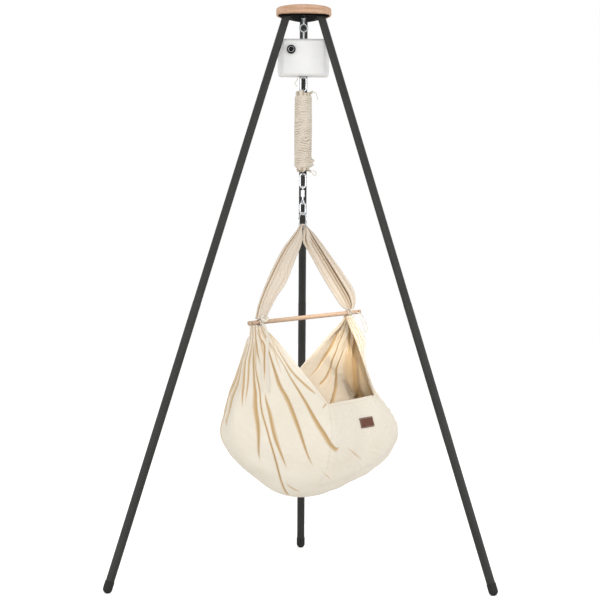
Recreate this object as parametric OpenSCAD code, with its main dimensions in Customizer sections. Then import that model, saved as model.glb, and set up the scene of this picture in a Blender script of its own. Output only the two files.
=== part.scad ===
// Swinging cradle on a three-legged stand. Millimetres, +Z up, front towards -Y.
// The origin is on the floor, under the middle of the stand's footprint.

/* [Stand] */
// Height of the whole stand
stand_h = 1930; // [1800:5:2050]
// Radius of the circle through the three foot centres
foot_circle_r = 711; // [600:1:760]
// Radius at which the leg centre lines meet the hub plate
leg_top_r = 68; // [62:1:72]
// Height of the joint between the leg sections
leg_joint_h = 930; // [700:5:1150]
// Outside diameter of the upper leg section
upper_leg_d = 27; // [26:0.5:30]
// Outside diameter of the lower leg section
lower_leg_d = 28; // [27:0.5:32]
// Bore of both leg sections
leg_bore = 23.8; // [20:0.2:24]
// Length of the coupler inside a leg joint
coupler_len = 120; // [60:5:200]
// Wall of the coupler and of the hub's spigots
coupler_wall = 2; // [1:0.25:4]
// Length of the spigots welded to the hub plate
spigot_len = 70; // [40:5:120]
// Outside diameter of the rubber feet
foot_d = 31; // [30:0.5:40]
// Length of the rubber feet along the leg
foot_len = 40; // [32:1:60]
// Depth by which a foot's round end is worn flat
foot_flat = 1; // [0.5:0.25:2]

/* [Head] */
// Diameter of the wooden head disc
disc_d = 188; // [182:1:220]
// Thickness of the wooden head disc
disc_t = 28; // [24:1:40]
// Rounding of the disc's edges
disc_edge_r = 7; // [2:0.5:10]
// Thickness of the hub plate
plate_t = 5; // [4:0.5:8]
// Distance from the axis to the middle of the hub plate's sides
plate_side = 67; // [60:1:75]
// Radius of the hub plate's bulging sides
plate_side_r = 290; // [200:5:400]
// Distance by which the hub plate's corners stand inside the disc
plate_inset = 2; // [1:0.5:6]
// Radius of the circle of plate screws
plate_screw_circle_r = 48; // [36:1:52]
// Diameter of the plate screws
plate_screw_d = 4.2; // [3.5:0.1:5]
// Length of the plate screws
plate_screw_len = 20; // [12:1:24]

/* [Eyebolt and shackle] */
// Drop from the top of the stand to the eye's centre
eye_drop = 67; // [62:1:75]
// Mean radius of the eye
eye_r = 12.8; // [11:0.1:16]
// Diameter of the eye's wire
eye_wire_d = 6; // [5:0.5:7]
// Diameter of the eyebolt's shank
shank_d = 8; // [6:1:10]
// Diameter of the shackle's bar
shackle_d = 6.4; // [5:0.2:7]
// Inside width of the shackle
shackle_gap = 12; // [10:0.5:14]
// Diameter of the shackle's pin
shackle_pin_d = 6; // [5:0.5:7]
// Drop from the eye's centre to the shackle's pin
shackle_drop = 47; // [45:1:49]

/* [Motor] */
// Width of the motor housing
motor_w = 175; // [160:1:180]
// Depth of the motor housing
motor_d = 62; // [58:1:66]
// Height of the motor housing
motor_h = 126; // [120:1:130]
// Drop from the shackle's pin to the housing's underside
motor_drop = 118; // [116:1:120]
// Wall of the housing
motor_wall = 2.5; // [2:0.25:3]
// Rounding of the housing seen from the front
motor_front_r = 12; // [6:1:16]
// Rounding of the housing seen from above
motor_plan_r = 24; // [16:1:28]
// Rounding of the housing seen from the side
motor_side_r = 12; // [6:1:16]
// Radius of the control knob
knob_r = 14.6; // [12:0.2:17]
// Height by which the knob stands off the housing
knob_h = 12; // [8:0.5:16]
// Distance of the knob to the left of the middle
knob_x = 42; // [34:1:50]
// Height of the knob's centre above the housing's underside
knob_rise = 88; // [82:1:90]
// Radius of the strap's winding on the drum
drum_strap_r = 12.4; // [12:0.1:13]
// Height of the drum's axle above the housing's underside
drum_rise = 62; // [60:1:66]
// Width of the pull strap
strap_w = 13; // [10:0.5:14]
// Thickness of the pull strap
strap_t = 1.2; // [0.8:0.1:1.5]

/* [Links] */
// Diameter of the carabiners' wire
carabiner_wire_d = 5; // [4:0.5:5]
// Diameter of the gates
gate_d = 4; // [3:0.5:4]
// Outside width of the upper carabiner
upper_carabiner_w = 24; // [22:1:30]
// Outside length of the upper carabiner
upper_carabiner_len = 54; // [50:1:58]
// Outside width of the middle carabiner
middle_carabiner_w = 24; // [22:1:30]
// Outside length of the middle carabiner
middle_carabiner_len = 53; // [50:1:56]
// Outside width of the lower carabiner
lower_carabiner_w = 26; // [22:1:30]
// Outside length of the lower carabiner
lower_carabiner_len = 45; // [44:1:50]
// Mean radius of the output eye and the spring's hooks
hook_r = 8; // [7:0.5:9]
// Mean radius of the swivel's eyes
swivel_eye_r = 6.5; // [6:0.5:7]
// Diameter of the swivel's eye wire
swivel_wire_d = 4; // [3:0.5:4.5]
// Radius of the swivel's barrel
swivel_barrel_r = 6.5; // [6:0.25:8]
// Length of the swivel's barrel
swivel_barrel_len = 22; // [20:1:24]
// Mean radius of the hammock's ring
ring_r = 24.5; // [20:0.5:26]
// Diameter of the hammock ring's wire
ring_wire_d = 5; // [4:0.5:6]

/* [Spring and sleeve] */
// Diameter of the spring's wire
spring_wire_d = 4.5; // [3.5:0.25:5]
// Mean radius of the spring's coils
spring_r = 17.5; // [15:0.5:20]
// Number of coils
spring_turns = 26; // [18:1:28]
// Length of the coiled part of the spring
spring_len = 235; // [220:1:236]
// Outside radius of the sleeve's folds
sleeve_r = 31.5; // [29:0.5:36]
// Depth of the sleeve's folds
sleeve_fold = 4; // [2:0.5:6]
// Pitch of the sleeve's folds
sleeve_pitch = 8.6; // [6:0.2:14]

/* [Hammock] */
// Turn of the hammock seen from above, in degrees
hammock_turn = 32; // [0:1:60]
// Length of the spreader bar
bar_len = 448; // [430:1:470]
// Diameter of the spreader bar
bar_d = 15; // [13:0.5:18]
// Drop from the ring's low side to the spreader bar's middle
bar_drop = 306; // [300:1:312]
// Slope of the spreader bar, in degrees
bar_slope = 5.1; // [0:0.1:6]
// Distance of the bar's middle from the hanging line
bar_shift = 13; // [0:1:20]
// Diameter of the cross holes near the bar's ends
bar_hole_d = 5; // [3:0.5:6]
// Thickness of the modelled cloth
cloth_t = 2.4; // [1.5:0.1:3]
// Half width of the bag
bag_half_w = 180; // [160:5:190]
// Radius along the bar of the gathered cloth under it
gather_r = 28; // [24:1:30]
// Radius across the bar of the gathered cloth under it
gather_ry = 20; // [18:1:22]
// Depth of the bag's folds
bag_fold = 6; // [2:0.5:7]
// Thickness of the mattress
mattress_t = 34; // [24:1:40]
// Half thickness of a carrying band
band_half_t = 8; // [6:0.5:10]
// Number of turns of tape round the bar at each gather
tie_turns = 3; // [2:1:3]
// Width of the label
label_w = 64; // [40:1:70]
// Height of the label
label_h = 34; // [20:1:40]

/* [Hidden] */
$fn = 48;

// Clearances
fit_gap = 0.1;      // plugged and pressed pieces
run_gap = 0.05;     // pins that turn in holes
rest_gap = 0.2;     // a link hanging on another link
seat_gap = 0.3;     // pieces that lie beside each other

// Stand
axis_y = -foot_circle_r / 4;
foot_z = foot_d / 2 - foot_flat;
plate_z = stand_h - disc_t - plate_t;
leg_rise = plate_z - foot_z;
leg_run = foot_circle_r - leg_top_r;
leg_tilt = atan(leg_run / leg_rise);
leg_len = norm([leg_run, leg_rise]);
joint_s = (leg_joint_h - foot_z) / cos(leg_tilt);
leg_turns = [210, 330, 90];
foot_seat_s = foot_d / 2 * 0.15;
trim_size = 2 * disc_d;

// Head
washer_d = 20;
washer_t = 1.6;
nut_af = 13 / 8 * shank_d;
nut_h = 0.8 * shank_d;
shank_top_z = plate_z + plate_t + washer_t + nut_h + 2;
pocket_h = shank_top_z - plate_z - plate_t + 3;
screw_head_r = plate_screw_d;

// Shackle
eye_h = stand_h - eye_drop;
shackle_pin_h = eye_h - shackle_drop;
eye_bottom_z = eye_h - eye_r;
bow_r = (shackle_gap + shackle_d) / 2;
bow_z = eye_bottom_z + eye_wire_d / 2 + rest_gap - shackle_gap / 2;
ear_r = shackle_d;

// Motor
motor_bottom_h = shackle_pin_h - motor_drop;
knob_z = motor_bottom_h + knob_rise;
drum_h = motor_bottom_h + drum_rise;
motor_z = motor_bottom_h + motor_h / 2;
drum_y = drum_strap_r + strap_t / 2;
flange_r = drum_strap_r + 2.6;
flange_t = 1.5;
cheek_x = strap_w / 2 + 3 + flange_t;
cheek_t = 3;
axle_r = 3;
crossbar_z = shackle_pin_h - 15;
crossbar_t = 4;
crossbar_half_y = 18;
gearmotor_r = 14;
boss_x = 68;
boss_dz = [51, -53];
boss_r = 4.5;
screw_r = 1.6;
inlet_x = 50;
inlet_z = motor_bottom_h + 24;
inlet_r = 5.5;
inlet_bore_r = 2.75;
dial_size = 16;
bottom_hole = [30, 26];
top_hole = [20, 38];

// Hanging line, from the output eye down
upper_carabiner_top_z = motor_bottom_h + 2;
wire_r = carabiner_wire_d / 2;
output_z = upper_carabiner_top_z - wire_r - rest_gap - carabiner_wire_d;
output_wire_r = wire_r;
upper_low_z = upper_carabiner_top_z - upper_carabiner_len + wire_r;
spring_wire_r = spring_wire_d / 2;
spring_hook_z = upper_low_z + wire_r + rest_gap + spring_wire_r - hook_r;
spring_top_z = spring_hook_z - hook_r - 10;
spring_low_z = spring_top_z - spring_len;
low_hook_z = spring_low_z - 12.5 - hook_r;
middle_top_z = low_hook_z - hook_r + spring_wire_r + rest_gap + wire_r;
middle_low_z = middle_top_z - middle_carabiner_len + carabiner_wire_d;
swivel_wire_r = swivel_wire_d / 2;
swivel_top_z = middle_low_z + wire_r + rest_gap + swivel_wire_r - swivel_eye_r;
barrel_top_z = swivel_top_z - swivel_eye_r;
barrel_low_z = barrel_top_z - swivel_barrel_len;
swivel_low_z = barrel_low_z - swivel_eye_r - 11.5;
lower_top_z = swivel_low_z - swivel_eye_r + swivel_wire_r + rest_gap + wire_r;
lower_low_z = lower_top_z - lower_carabiner_len + carabiner_wire_d;
ring_wire_r = ring_wire_d / 2;
ring_z = lower_low_z + wire_r + rest_gap + ring_wire_r - ring_r;
ring_low_z = ring_z - ring_r;

// Sleeve
sleeve_bore_r = spring_r + spring_wire_r + 0.6;
sleeve_neck_r = spring_r;
sleeve_top_z = spring_top_z + spring_wire_r + 0.6;
sleeve_low_z = spring_low_z - spring_wire_r - 0.6;
sleeve_end = 10;
sleeve_folds = round((sleeve_top_z - sleeve_low_z) / sleeve_pitch);

// Spreader bar
bar_h = ring_low_z - bar_drop;
function bar_z(x) = bar_h + (x - bar_shift) * tan(bar_slope);
bar_half_z = bar_d / 2 / cos(bar_slope);
tie_wire_r = 2;
tie_top = bar_half_z + seat_gap + 2 * tie_wire_r;
tie_at = [-178, 177];
left_gather_x = -180;
right_gather_x = 206;
left_gather_z = bar_z(left_gather_x - gather_r) - bar_half_z - 4 * seat_gap;
right_gather_z = bar_z(right_gather_x - gather_r) - bar_half_z - 4 * seat_gap;

// Route of the bag's keel from the left gather to the right: [along the bar, below the bar]
keel = [
    [left_gather_x, bar_h - left_gather_z], [-225, 121], [-252, 211], [-279, 291], [-299, 391],
    [-252, 476], [-174, 538], [-94, 590], [0, 611], [96, 597], [196, 565], [302, 514],
    [376, 423], [332, 336], [252, 253], [232, 159], [244, 69],
    [right_gather_x, bar_h - right_gather_z]
];
keel_mid = 8;
front_notch = [4, 286];
rear_notch = [0, 275];
panel_corner = [240, 267];
belly = 118;
bag_folds = 6;
bag_rows = 24;
bag_cols = 24;
panel_rows = [12, 19];
panel_cols = [0, 8];
panel_corner_u = 2 - 2 * panel_rows[1] / bag_rows;
mattress_rows = [7, 17];
mattress_cols = [8, 16];

// Edges of the carrying bands: [outer edge along the bar and height over the bar, inner edge
// along the bar and height over the bar]; the last pair lies on the tie round the bar
bar_to_ring = 306;
left_band_line = [
    [0, 318.5, 0, 309.2], [-12, 311, -4.6, 305], [-22, 297, -2, 286], [-35, 283, -1.5, 263],
    [-54, 261, -9, 237], [-73, 239, -22, 209], [-102, 194, -42, 164], [-130, 142, -66, 114],
    [-153, 93, -96, 76], [-173, 41, -123, 33], [-184, 0, -143, 0]
];
right_band_line = [
    [0, 318.5, 0, 309.2], [14, 312, 4.6, 305], [30, 299, 2, 285], [50, 283, 3, 255],
    [81, 250, 31, 214], [134, 190, 75, 148], [178, 138, 116, 91], [204, 105, 144, 55],
    [215, 80, 160, 38], [217, 52, 172, 30], [210, 0, 180, 0]
];

// Free ribbons and cords, in the hammock's own directions or the stand's
ribbon_route = [[-169, -12.3, -18], [-170, -36, -28], [-169, -55, -55], [-176, -68, -84],
    [-183, -77, -121], [-187, -85, -161], [-192, -99, -203], [-196, -109, -242]];
ribbon_half_w = 5;
bow_route = [[212, -9.3, 18], [224, -24, 12], [233, -34, -8], [238, -42, -30], [237, -46, -46],
    [229, -46, -50], [224, -42, -34], [222, -34, -10], [214, -24, 8]];
bow_r_wire = 1.6;
drawstring_route = [[23, -11, 1640.4], [31, -14, 1643.5], [40, -17, 1642], [45, -18, 1633],
    [48, -18, 1618]];
sleeve_loop_route = [[22, -10, 1378.9], [29, -13, 1373], [36, -15, 1364], [42, -15, 1361],
    [45, -14, 1368], [42, -12, 1375], [36, -10, 1378], [29, -8, 1377.4]];
stub_route = [[-20, -18, 1697.7], [-20, -18, 1690], [-23, -18, 1682], [-28, -18, 1675],
    [-26, -18, 1667], [-22, -18, 1664]];
string_r = 1.3;

// Helpers for swept and lofted cloth ---------------------------------------------------------

function unit(v) = v / norm(v);

function bell(u) = sin(180 * min(max(u, 0), 1));

// Point number x (a real number) of a smooth line through the points p
function on_line(p, x) =
    let (
        last = len(p) - 1,
        i = min(max(floor(x), 0), last - 1),
        t = x - i,
        b = p[i],
        c = p[i + 1],
        a = i > 0 ? p[i - 1] : 2 * b - c,
        d = i + 2 <= last ? p[i + 2] : 2 * c - b
    )
    0.5 * (2 * b + (c - a) * t + (2 * a - 5 * b + 4 * c - d) * t * t
        + (3 * b - a - 3 * c + d) * t * t * t);

function smooth_line(p, n) = [for (i = [0:n]) on_line(p, i * (len(p) - 1) / n)];

function tangents(p) = [
    for (i = [0:len(p) - 1]) unit(p[min(i + 1, len(p) - 1)] - p[max(i - 1, 0)])
];

// Sideways directions carried along a path, so that a tube on it doesn't twist
function carried(t, first) = [
    for (i = 0, v = first; i < len(t); v = v - (v * t[min(i + 1, len(t) - 1)])
        * t[min(i + 1, len(t) - 1)], i = i + 1) unit(v)
];

function tube_faces(rings, sides) = [
    for (j = [0:rings - 2], k = [0:sides - 1])
        let (a = j * sides + k, d = j * sides + (k + 1) % sides)
        each [[a, a + sides, d + sides], [a, d + sides, d]],
    for (k = [1:sides - 2]) [0, k, k + 1],
    for (k = [1:sides - 2]) let (z = (rings - 1) * sides) [z, z + k + 1, z + k]
];

// Tube along a path; half_w(i) and half_t(i) come as lists, one pair a ring
module tube(path, half_w, half_t, first, sides = 8) {
    t = tangents(path);
    n = carried(t, first);
    polyhedron([
        for (i = [0:len(path) - 1])
            let (b = unit(cross(t[i], n[i])), m = cross(b, t[i]))
            for (k = [0:sides - 1])
                let (a = 360 * k / sides)
                path[i] + m * cos(a) * half_w[i] + b * sin(a) * half_t[i]
    ], tube_faces(len(path), sides));
}

module cord(route, r, rings, first) {
    path = smooth_line(route, rings - 1);
    tube(path, [for (p = path) r], [for (p = path) r], first);
}

// Closed sheet between two grids of points: upper lies on the side that rows x columns face
module sheet(upper, lower) {
    rows = len(upper);
    cols = len(upper[0]);
    n = rows * cols;
    function id(i, j) = i * cols + j;
    polyhedron(
        [for (row = upper) each row, for (row = lower) each row],
        [
            for (i = [0:rows - 2], j = [0:cols - 2])
                let (a = id(i, j), b = id(i + 1, j), c = id(i + 1, j + 1), d = id(i, j + 1))
                each [[a, d, c], [a, c, b], [n + a, n + b, n + c], [n + a, n + c, n + d]],
            for (i = [0:rows - 2])
                let (a = id(i, 0), b = id(i + 1, 0), d = id(i, cols - 1), c = id(i + 1, cols - 1))
                each [[a, b, n + b], [a, n + b, n + a], [c, d, n + d], [c, n + d, n + c]],
            for (j = [0:cols - 2])
                let (a = id(0, j), d = id(0, j + 1), b = id(rows - 1, j), c = id(rows - 1, j + 1))
                each [[d, a, n + a], [d, n + a, n + d], [b, c, n + c], [b, n + c, n + b]]
        ]
    );
}

// Places --------------------------------------------------------------------------------------

module at_axis(z = 0) translate([0, axis_y, z]) children();

module in_hammock() at_axis() rotate([0, 0, hammock_turn]) children();

module on_leg(i) at_axis(foot_z) rotate([0, 0, leg_turns[i]])
    translate([foot_circle_r, 0, 0]) rotate([0, -leg_tilt, 0]) children();

module below(z) intersection() {
    children();
    translate([0, 0, z - stand_h]) linear_extrude(stand_h) square(8 * foot_circle_r, center = true);
}

module bar_frame() in_hammock() translate([bar_shift, 0, bar_h]) rotate([0, 90 - bar_slope, 0])
    children();

// Head ----------------------------------------------------------------------------------------

module disc_profile() {
    square([disc_d / 2 - disc_edge_r, disc_t]);
    translate([0, disc_edge_r]) square([disc_d / 2, disc_t - 2 * disc_edge_r]);
    for (z = [disc_edge_r, disc_t - disc_edge_r])
        translate([disc_d / 2 - disc_edge_r, z]) circle(disc_edge_r);
}

module screw_places() for (a = leg_turns)
    rotate([0, 0, a + 60]) translate([plate_screw_circle_r, 0, 0]) children();

module top_disc() color("burlywood") at_axis(plate_z + plate_t) difference() {
    rotate_extrude($fn = 96) intersection() {
        disc_profile();
        square([disc_d, disc_t]);
    }
    translate([0, 0, -1]) cylinder(d = washer_d + 4, h = pocket_h + 1);
    screw_places() translate([0, 0, -1]) cylinder(d = plate_screw_d + 2 * fit_gap,
        h = plate_screw_len);
}

module plate_sides() intersection_for(a = leg_turns) rotate(a + 180)
    translate([plate_side - plate_side_r, 0]) circle(plate_side_r, $fn = 180);

module hub_plate() color("#1c1d1f") {
    difference() {
        at_axis(plate_z) linear_extrude(plate_t) intersection() {
            circle(disc_d / 2 - plate_inset, $fn = 96);
            plate_sides();
        }
        at_axis(plate_z - 1) cylinder(d = shank_d + 4 * fit_gap, h = plate_t + 2);
        at_axis(plate_z) screw_places() {
            translate([0, 0, -1]) cylinder(d = plate_screw_d + 4 * fit_gap, h = plate_t + 2);
            translate([0, 0, -0.01]) cylinder(r1 = screw_head_r + fit_gap,
                r2 = plate_screw_d / 2 + fit_gap, h = screw_head_r / 2);
        }
    }
    below(plate_z) for (i = [0:2]) on_leg(i) translate([0, 0, leg_len - spigot_len])
        difference() {
            cylinder(d = leg_bore - 2 * fit_gap, h = spigot_len + leg_bore);
            translate([0, 0, -1]) cylinder(d = leg_bore - 2 * fit_gap - 2 * coupler_wall,
                h = spigot_len + leg_bore + 2);
        }
}

module plate_screws() color("dimgray") at_axis(plate_z) screw_places() {
    cylinder(r1 = screw_head_r, r2 = plate_screw_d / 2, h = screw_head_r / 2);
    cylinder(d = plate_screw_d, h = plate_screw_len);
}

module eyebolt() color("silver") at_axis(eye_h) {
    rotate([90, 0, 0]) rotate_extrude() translate([eye_r, 0]) circle(d = eye_wire_d, $fn = 32);
    translate([0, 0, eye_r]) cylinder(d = shank_d, h = shank_top_z - eye_h - eye_r);
}

module nut() difference() {
    cylinder(d = nut_af / cos(30), h = nut_h, $fn = 6);
    translate([0, 0, -1]) cylinder(d = shank_d + fit_gap, h = nut_h + 2);
}

module eyebolt_nuts() color("gray") {
    at_axis(plate_z - washer_t - nut_h) nut();
    at_axis(plate_z + plate_t + washer_t) nut();
}

module eyebolt_washers() color("gray")
    for (z = [plate_z - washer_t, plate_z + plate_t]) at_axis(z) difference() {
        cylinder(d = washer_d, h = washer_t);
        translate([0, 0, -1]) cylinder(d = shank_d + 2 * fit_gap, h = washer_t + 2);
    }

// Legs ----------------------------------------------------------------------------------------

module upper_leg(i) color("#4a4a4a") below(plate_z) on_leg(i) translate([0, 0, joint_s])
    difference() {
        cylinder(d = upper_leg_d, h = leg_len - joint_s + upper_leg_d);
        translate([0, 0, -1]) cylinder(d = leg_bore, h = leg_len - joint_s + upper_leg_d + 2);
    }

module lower_leg(i) color("#464646") on_leg(i) translate([0, 0, foot_seat_s]) difference() {
    cylinder(d = lower_leg_d, h = joint_s - foot_seat_s);
    translate([0, 0, -1]) cylinder(d = leg_bore, h = joint_s - foot_seat_s + 2);
}

module leg_couplers() color("gray") for (i = [0:2]) on_leg(i)
    translate([0, 0, joint_s - coupler_len / 2]) difference() {
        cylinder(d = leg_bore - 2 * fit_gap, h = coupler_len);
        translate([0, 0, -1]) cylinder(d = leg_bore - 2 * fit_gap - 2 * coupler_wall,
            h = coupler_len + 2);
    }

module rubber_foot(i) color("#151515") difference() {
    on_leg(i) difference() {
        union() {
            sphere(d = foot_d, $fn = 64);
            cylinder(d = foot_d, h = foot_len - foot_d / 2, $fn = 64);
        }
        translate([0, 0, foot_seat_s]) cylinder(d = lower_leg_d + fit_gap, h = foot_len);
    }
    translate([0, 0, -foot_d]) linear_extrude(foot_d) square(8 * foot_circle_r, center = true);
}

module left_upper_leg() upper_leg(0);
module right_upper_leg() upper_leg(1);
module back_upper_leg() upper_leg(2);
module left_lower_leg() lower_leg(0);
module right_lower_leg() lower_leg(1);
module back_lower_leg() lower_leg(2);
module left_foot() rubber_foot(0);
module right_foot() rubber_foot(1);
module back_foot() rubber_foot(2);

// Shackle -------------------------------------------------------------------------------------

module shackle_bow() color("silver") at_axis() difference() {
    union() {
        translate([0, 0, bow_z]) rotate([90, 0, 90]) rotate_extrude(angle = 180)
            translate([bow_r, 0]) circle(d = shackle_d, $fn = 32);
        for (y = [-bow_r, bow_r]) translate([0, y, 0]) {
            translate([0, 0, shackle_pin_h]) cylinder(d = shackle_d, h = bow_z - shackle_pin_h,
                $fn = 32);
            translate([0, shackle_d / 2, shackle_pin_h]) rotate([90, 0, 0])
                cylinder(r = ear_r, h = shackle_d);
        }
    }
    translate([0, 2 * bow_r, shackle_pin_h]) rotate([90, 0, 0])
        cylinder(d = shackle_pin_d + 2 * run_gap, h = 4 * bow_r);
}

module shackle_pin() color("silver") at_axis(shackle_pin_h) {
    pin_half = bow_r + shackle_d / 2;
    translate([0, pin_half, 0]) rotate([90, 0, 0]) cylinder(d = shackle_pin_d, h = 2 * pin_half);
    translate([0, -pin_half, 0]) rotate([90, 0, 0]) cylinder(r = ear_r - 1, h = 3.5);
}

// Motor ---------------------------------------------------------------------------------------

module rounded(w, h, r) {
    square([w - 2 * r, h], center = true);
    square([w, h - 2 * r], center = true);
    for (x = [r - w / 2, w / 2 - r], y = [r - h / 2, h / 2 - r]) translate([x, y]) circle(r);
}

module housing_form(inset) intersection() {
    translate([0, motor_d, 0]) rotate([90, 0, 0]) linear_extrude(2 * motor_d)
        rounded(motor_w - 2 * inset, motor_h - 2 * inset, motor_front_r - inset);
    translate([0, 0, -motor_h]) linear_extrude(2 * motor_h)
        rounded(motor_w - 2 * inset, motor_d - 2 * inset, motor_plan_r - inset);
    translate([-motor_w, 0, 0]) rotate([90, 0, 90]) linear_extrude(2 * motor_w)
        rounded(motor_d - 2 * inset, motor_h - 2 * inset, motor_side_r - inset);
}

module housing_holes() {
    translate([0, 0, motor_h / 2]) cube([top_hole.x, top_hole.y, 4 * motor_wall], center = true);
    translate([0, 0, -motor_h / 2]) cube([bottom_hole.x, bottom_hole.y, 4 * motor_wall],
        center = true);
}

module boss_places() for (x = [-boss_x, boss_x], z = boss_dz)
    translate([x, 0, z]) rotate([90, 0, 0]) children();

module motor_front_shell() color("#f0f0ee") at_axis(motor_z) {
    difference() {
        housing_form(0);
        housing_form(motor_wall);
        housing_holes();
        translate([-motor_w, 0, -motor_h]) cube([2 * motor_w, motor_d, 2 * motor_h]);
        translate([-knob_x, 0, knob_z - motor_z]) rotate([90, 0, 0]) cylinder(r = 4.5, h = motor_d);
    }
    boss_places() difference() {
        cylinder(r = boss_r, h = motor_d / 2 - motor_wall / 2);
        translate([0, 0, -1]) cylinder(r = screw_r + fit_gap, h = 17);
    }
}

module motor_back_shell() color("#ececea") at_axis(motor_z) difference() {
    union() {
        difference() {
            housing_form(0);
            housing_form(motor_wall);
            housing_holes();
            translate([-motor_w, -motor_d, -motor_h]) cube([2 * motor_w, motor_d, 2 * motor_h]);
            translate([inlet_x, motor_d, inlet_z - motor_z]) rotate([90, 0, 0])
                cylinder(r = inlet_r + fit_gap, h = motor_d);
        }
        boss_places() translate([0, 0, -motor_d / 2 + motor_wall / 2])
            cylinder(r = boss_r, h = motor_d / 2 - motor_wall / 2);
    }
    boss_places() translate([0, 0, -motor_d]) cylinder(r = screw_r + 2 * fit_gap, h = motor_d + 1);
    boss_places() translate([0, 0, -motor_d]) cylinder(r = 2 * screw_r + fit_gap,
        h = motor_d / 2 + 6);
}

module housing_screws() color("dimgray") at_axis(motor_z) boss_places() {
    translate([0, 0, -motor_d / 2 + 6 - 2]) cylinder(r = 2 * screw_r, h = 2);
    translate([0, 0, -motor_d / 2 + 6]) cylinder(r = screw_r, h = motor_d / 2 - 6 + 14);
}

module hanger_frame() color("slategray") at_axis() {
    lug_half = shackle_gap / 2 - seat_gap;
    difference() {
        union() {
            translate([-8, -lug_half, crossbar_z + crossbar_t])
                cube([16, 2 * lug_half, shackle_pin_h - crossbar_z - crossbar_t]);
            translate([0, lug_half, shackle_pin_h]) rotate([90, 0, 0])
                cylinder(r = 8, h = 2 * lug_half);
        }
        translate([0, motor_d, shackle_pin_h]) rotate([90, 0, 0])
            cylinder(d = shackle_pin_d + 2 * run_gap, h = 2 * motor_d);
    }
    intersection() {
        translate([-motor_w / 2, -crossbar_half_y, crossbar_z])
            cube([motor_w, 2 * crossbar_half_y, crossbar_t]);
        translate([0, 0, motor_z]) housing_form(motor_wall + seat_gap);
    }
    for (x = [-cheek_x - cheek_t, cheek_x]) difference() {
        translate([x, drum_y - 9, drum_h - 9]) cube([cheek_t, 18, crossbar_z - drum_h + 9]);
        translate([x - 1, drum_y, drum_h]) rotate([0, 90, 0])
            cylinder(r = axle_r + run_gap, h = cheek_t + 2);
    }
}

module gearmotor() color("darkgray") at_axis(drum_h) translate([0, drum_y, 0]) {
    shell_end = -motor_w / 2 + motor_wall + 17;
    translate([shell_end, 0, 0]) rotate([0, 90, 0])
        cylinder(r = gearmotor_r, h = -cheek_x - cheek_t - seat_gap - shell_end);
}

module winding_drum() color("khaki") at_axis(drum_h) translate([0, drum_y, 0])
    rotate([0, 90, 0]) {
        inner = strap_w / 2 + 0.5;
        translate([0, 0, -inner]) cylinder(r = drum_strap_r, h = 2 * inner);
        for (z = [-inner - flange_t, inner]) translate([0, 0, z])
            cylinder(r = flange_r, h = flange_t);
        translate([0, 0, -cheek_x - cheek_t]) cylinder(r = axle_r, h = 2 * cheek_x + 2 * cheek_t);
    }

module pull_strap() color("#2a2a2a") at_axis() translate([-strap_w / 2, -strap_t / 2, 0])
    translate([0, 0, output_z + 2 * hook_r + 5]) cube([strap_w, strap_t,
        drum_h - output_z - 2 * hook_r - 5]);

module output_eye() color("silver") at_axis(output_z) {
    translate([0, 0, hook_r]) rotate([90, 0, 90]) rotate_extrude()
        translate([hook_r, 0]) circle(r = output_wire_r, $fn = 32);
    difference() {
        translate([-strap_w / 2 - 2, -3.5, 2 * hook_r]) cube([strap_w + 4, 7, 14]);
        translate([-strap_w / 2 - fit_gap, -strap_t / 2 - fit_gap, 2 * hook_r + 5])
            cube([strap_w + 2 * fit_gap, strap_t + 2 * fit_gap, 20]);
    }
}

module circuit_board() color("darkgreen") at_axis()
    translate([9.5 - motor_w / 2, -17, motor_bottom_h + 17])
        cube([0.36 * motor_w, 1.6, 0.62 * motor_h]);

module speed_dial_base() color("dimgray") at_axis(knob_z) translate([-knob_x, 0, 0]) {
    front = -motor_d / 2 + motor_wall;
    translate([-dial_size / 2, front + seat_gap, -dial_size / 2])
        cube([dial_size, -17 - front - seat_gap, dial_size]);
    translate([0, front + 1, 0]) rotate([90, 0, 0]) cylinder(r = axle_r, h = knob_h - 2);
}

module power_inlet() color("#202020") at_axis() translate([inlet_x, 0, inlet_z]) difference() {
    union() {
        translate([0, motor_d / 2, 0]) rotate([90, 0, 0]) cylinder(r = inlet_r, h = 12);
        translate([-7, motor_d / 2 - motor_wall - seat_gap - 9, -7]) cube([14, 9, 14]);
    }
    translate([0, motor_d / 2 + 1, 0]) rotate([90, 0, 0]) cylinder(r = inlet_bore_r, h = 10);
}

module control_knob() color("#1b1b1b") at_axis(knob_z) translate([-knob_x, 0, 0]) difference() {
    front = -motor_d / 2 - seat_gap;
    union() {
        translate([0, front, 0]) rotate([90, 0, 0]) cylinder(r = knob_r, h = knob_h - 1.5);
        translate([0, front - knob_h + 1.5, 0]) rotate([90, 0, 0])
            cylinder(r1 = knob_r, r2 = knob_r - 1.5, h = 1.5);
    }
    translate([0, front + 1, 0]) rotate([90, 0, 0]) cylinder(r = axle_r + run_gap, h = knob_h - 3);
    translate([0, front - knob_h + 1, 0]) rotate([90, 0, 0]) cylinder(r = knob_r - 6, h = 2);
    translate([-0.75, front - knob_h - 1, knob_r - 5]) cube([1.5, 2, 3.5]);
}

// Links ---------------------------------------------------------------------------------------

// Wire ring in the plane across X, its centre at the origin
module eye_ring(r, wire) rotate([90, 0, 90]) rotate_extrude() translate([r, 0])
    circle(r = wire, $fn = 32);

// Distances from a carabiner's lower wire to its gate's hinge and nose
function gate_hinge(w) = w / 2 - wire_r + 3.4;
function gate_nose(w, l) = l - carabiner_wire_d - (w / 2 - wire_r) - 3;

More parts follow.
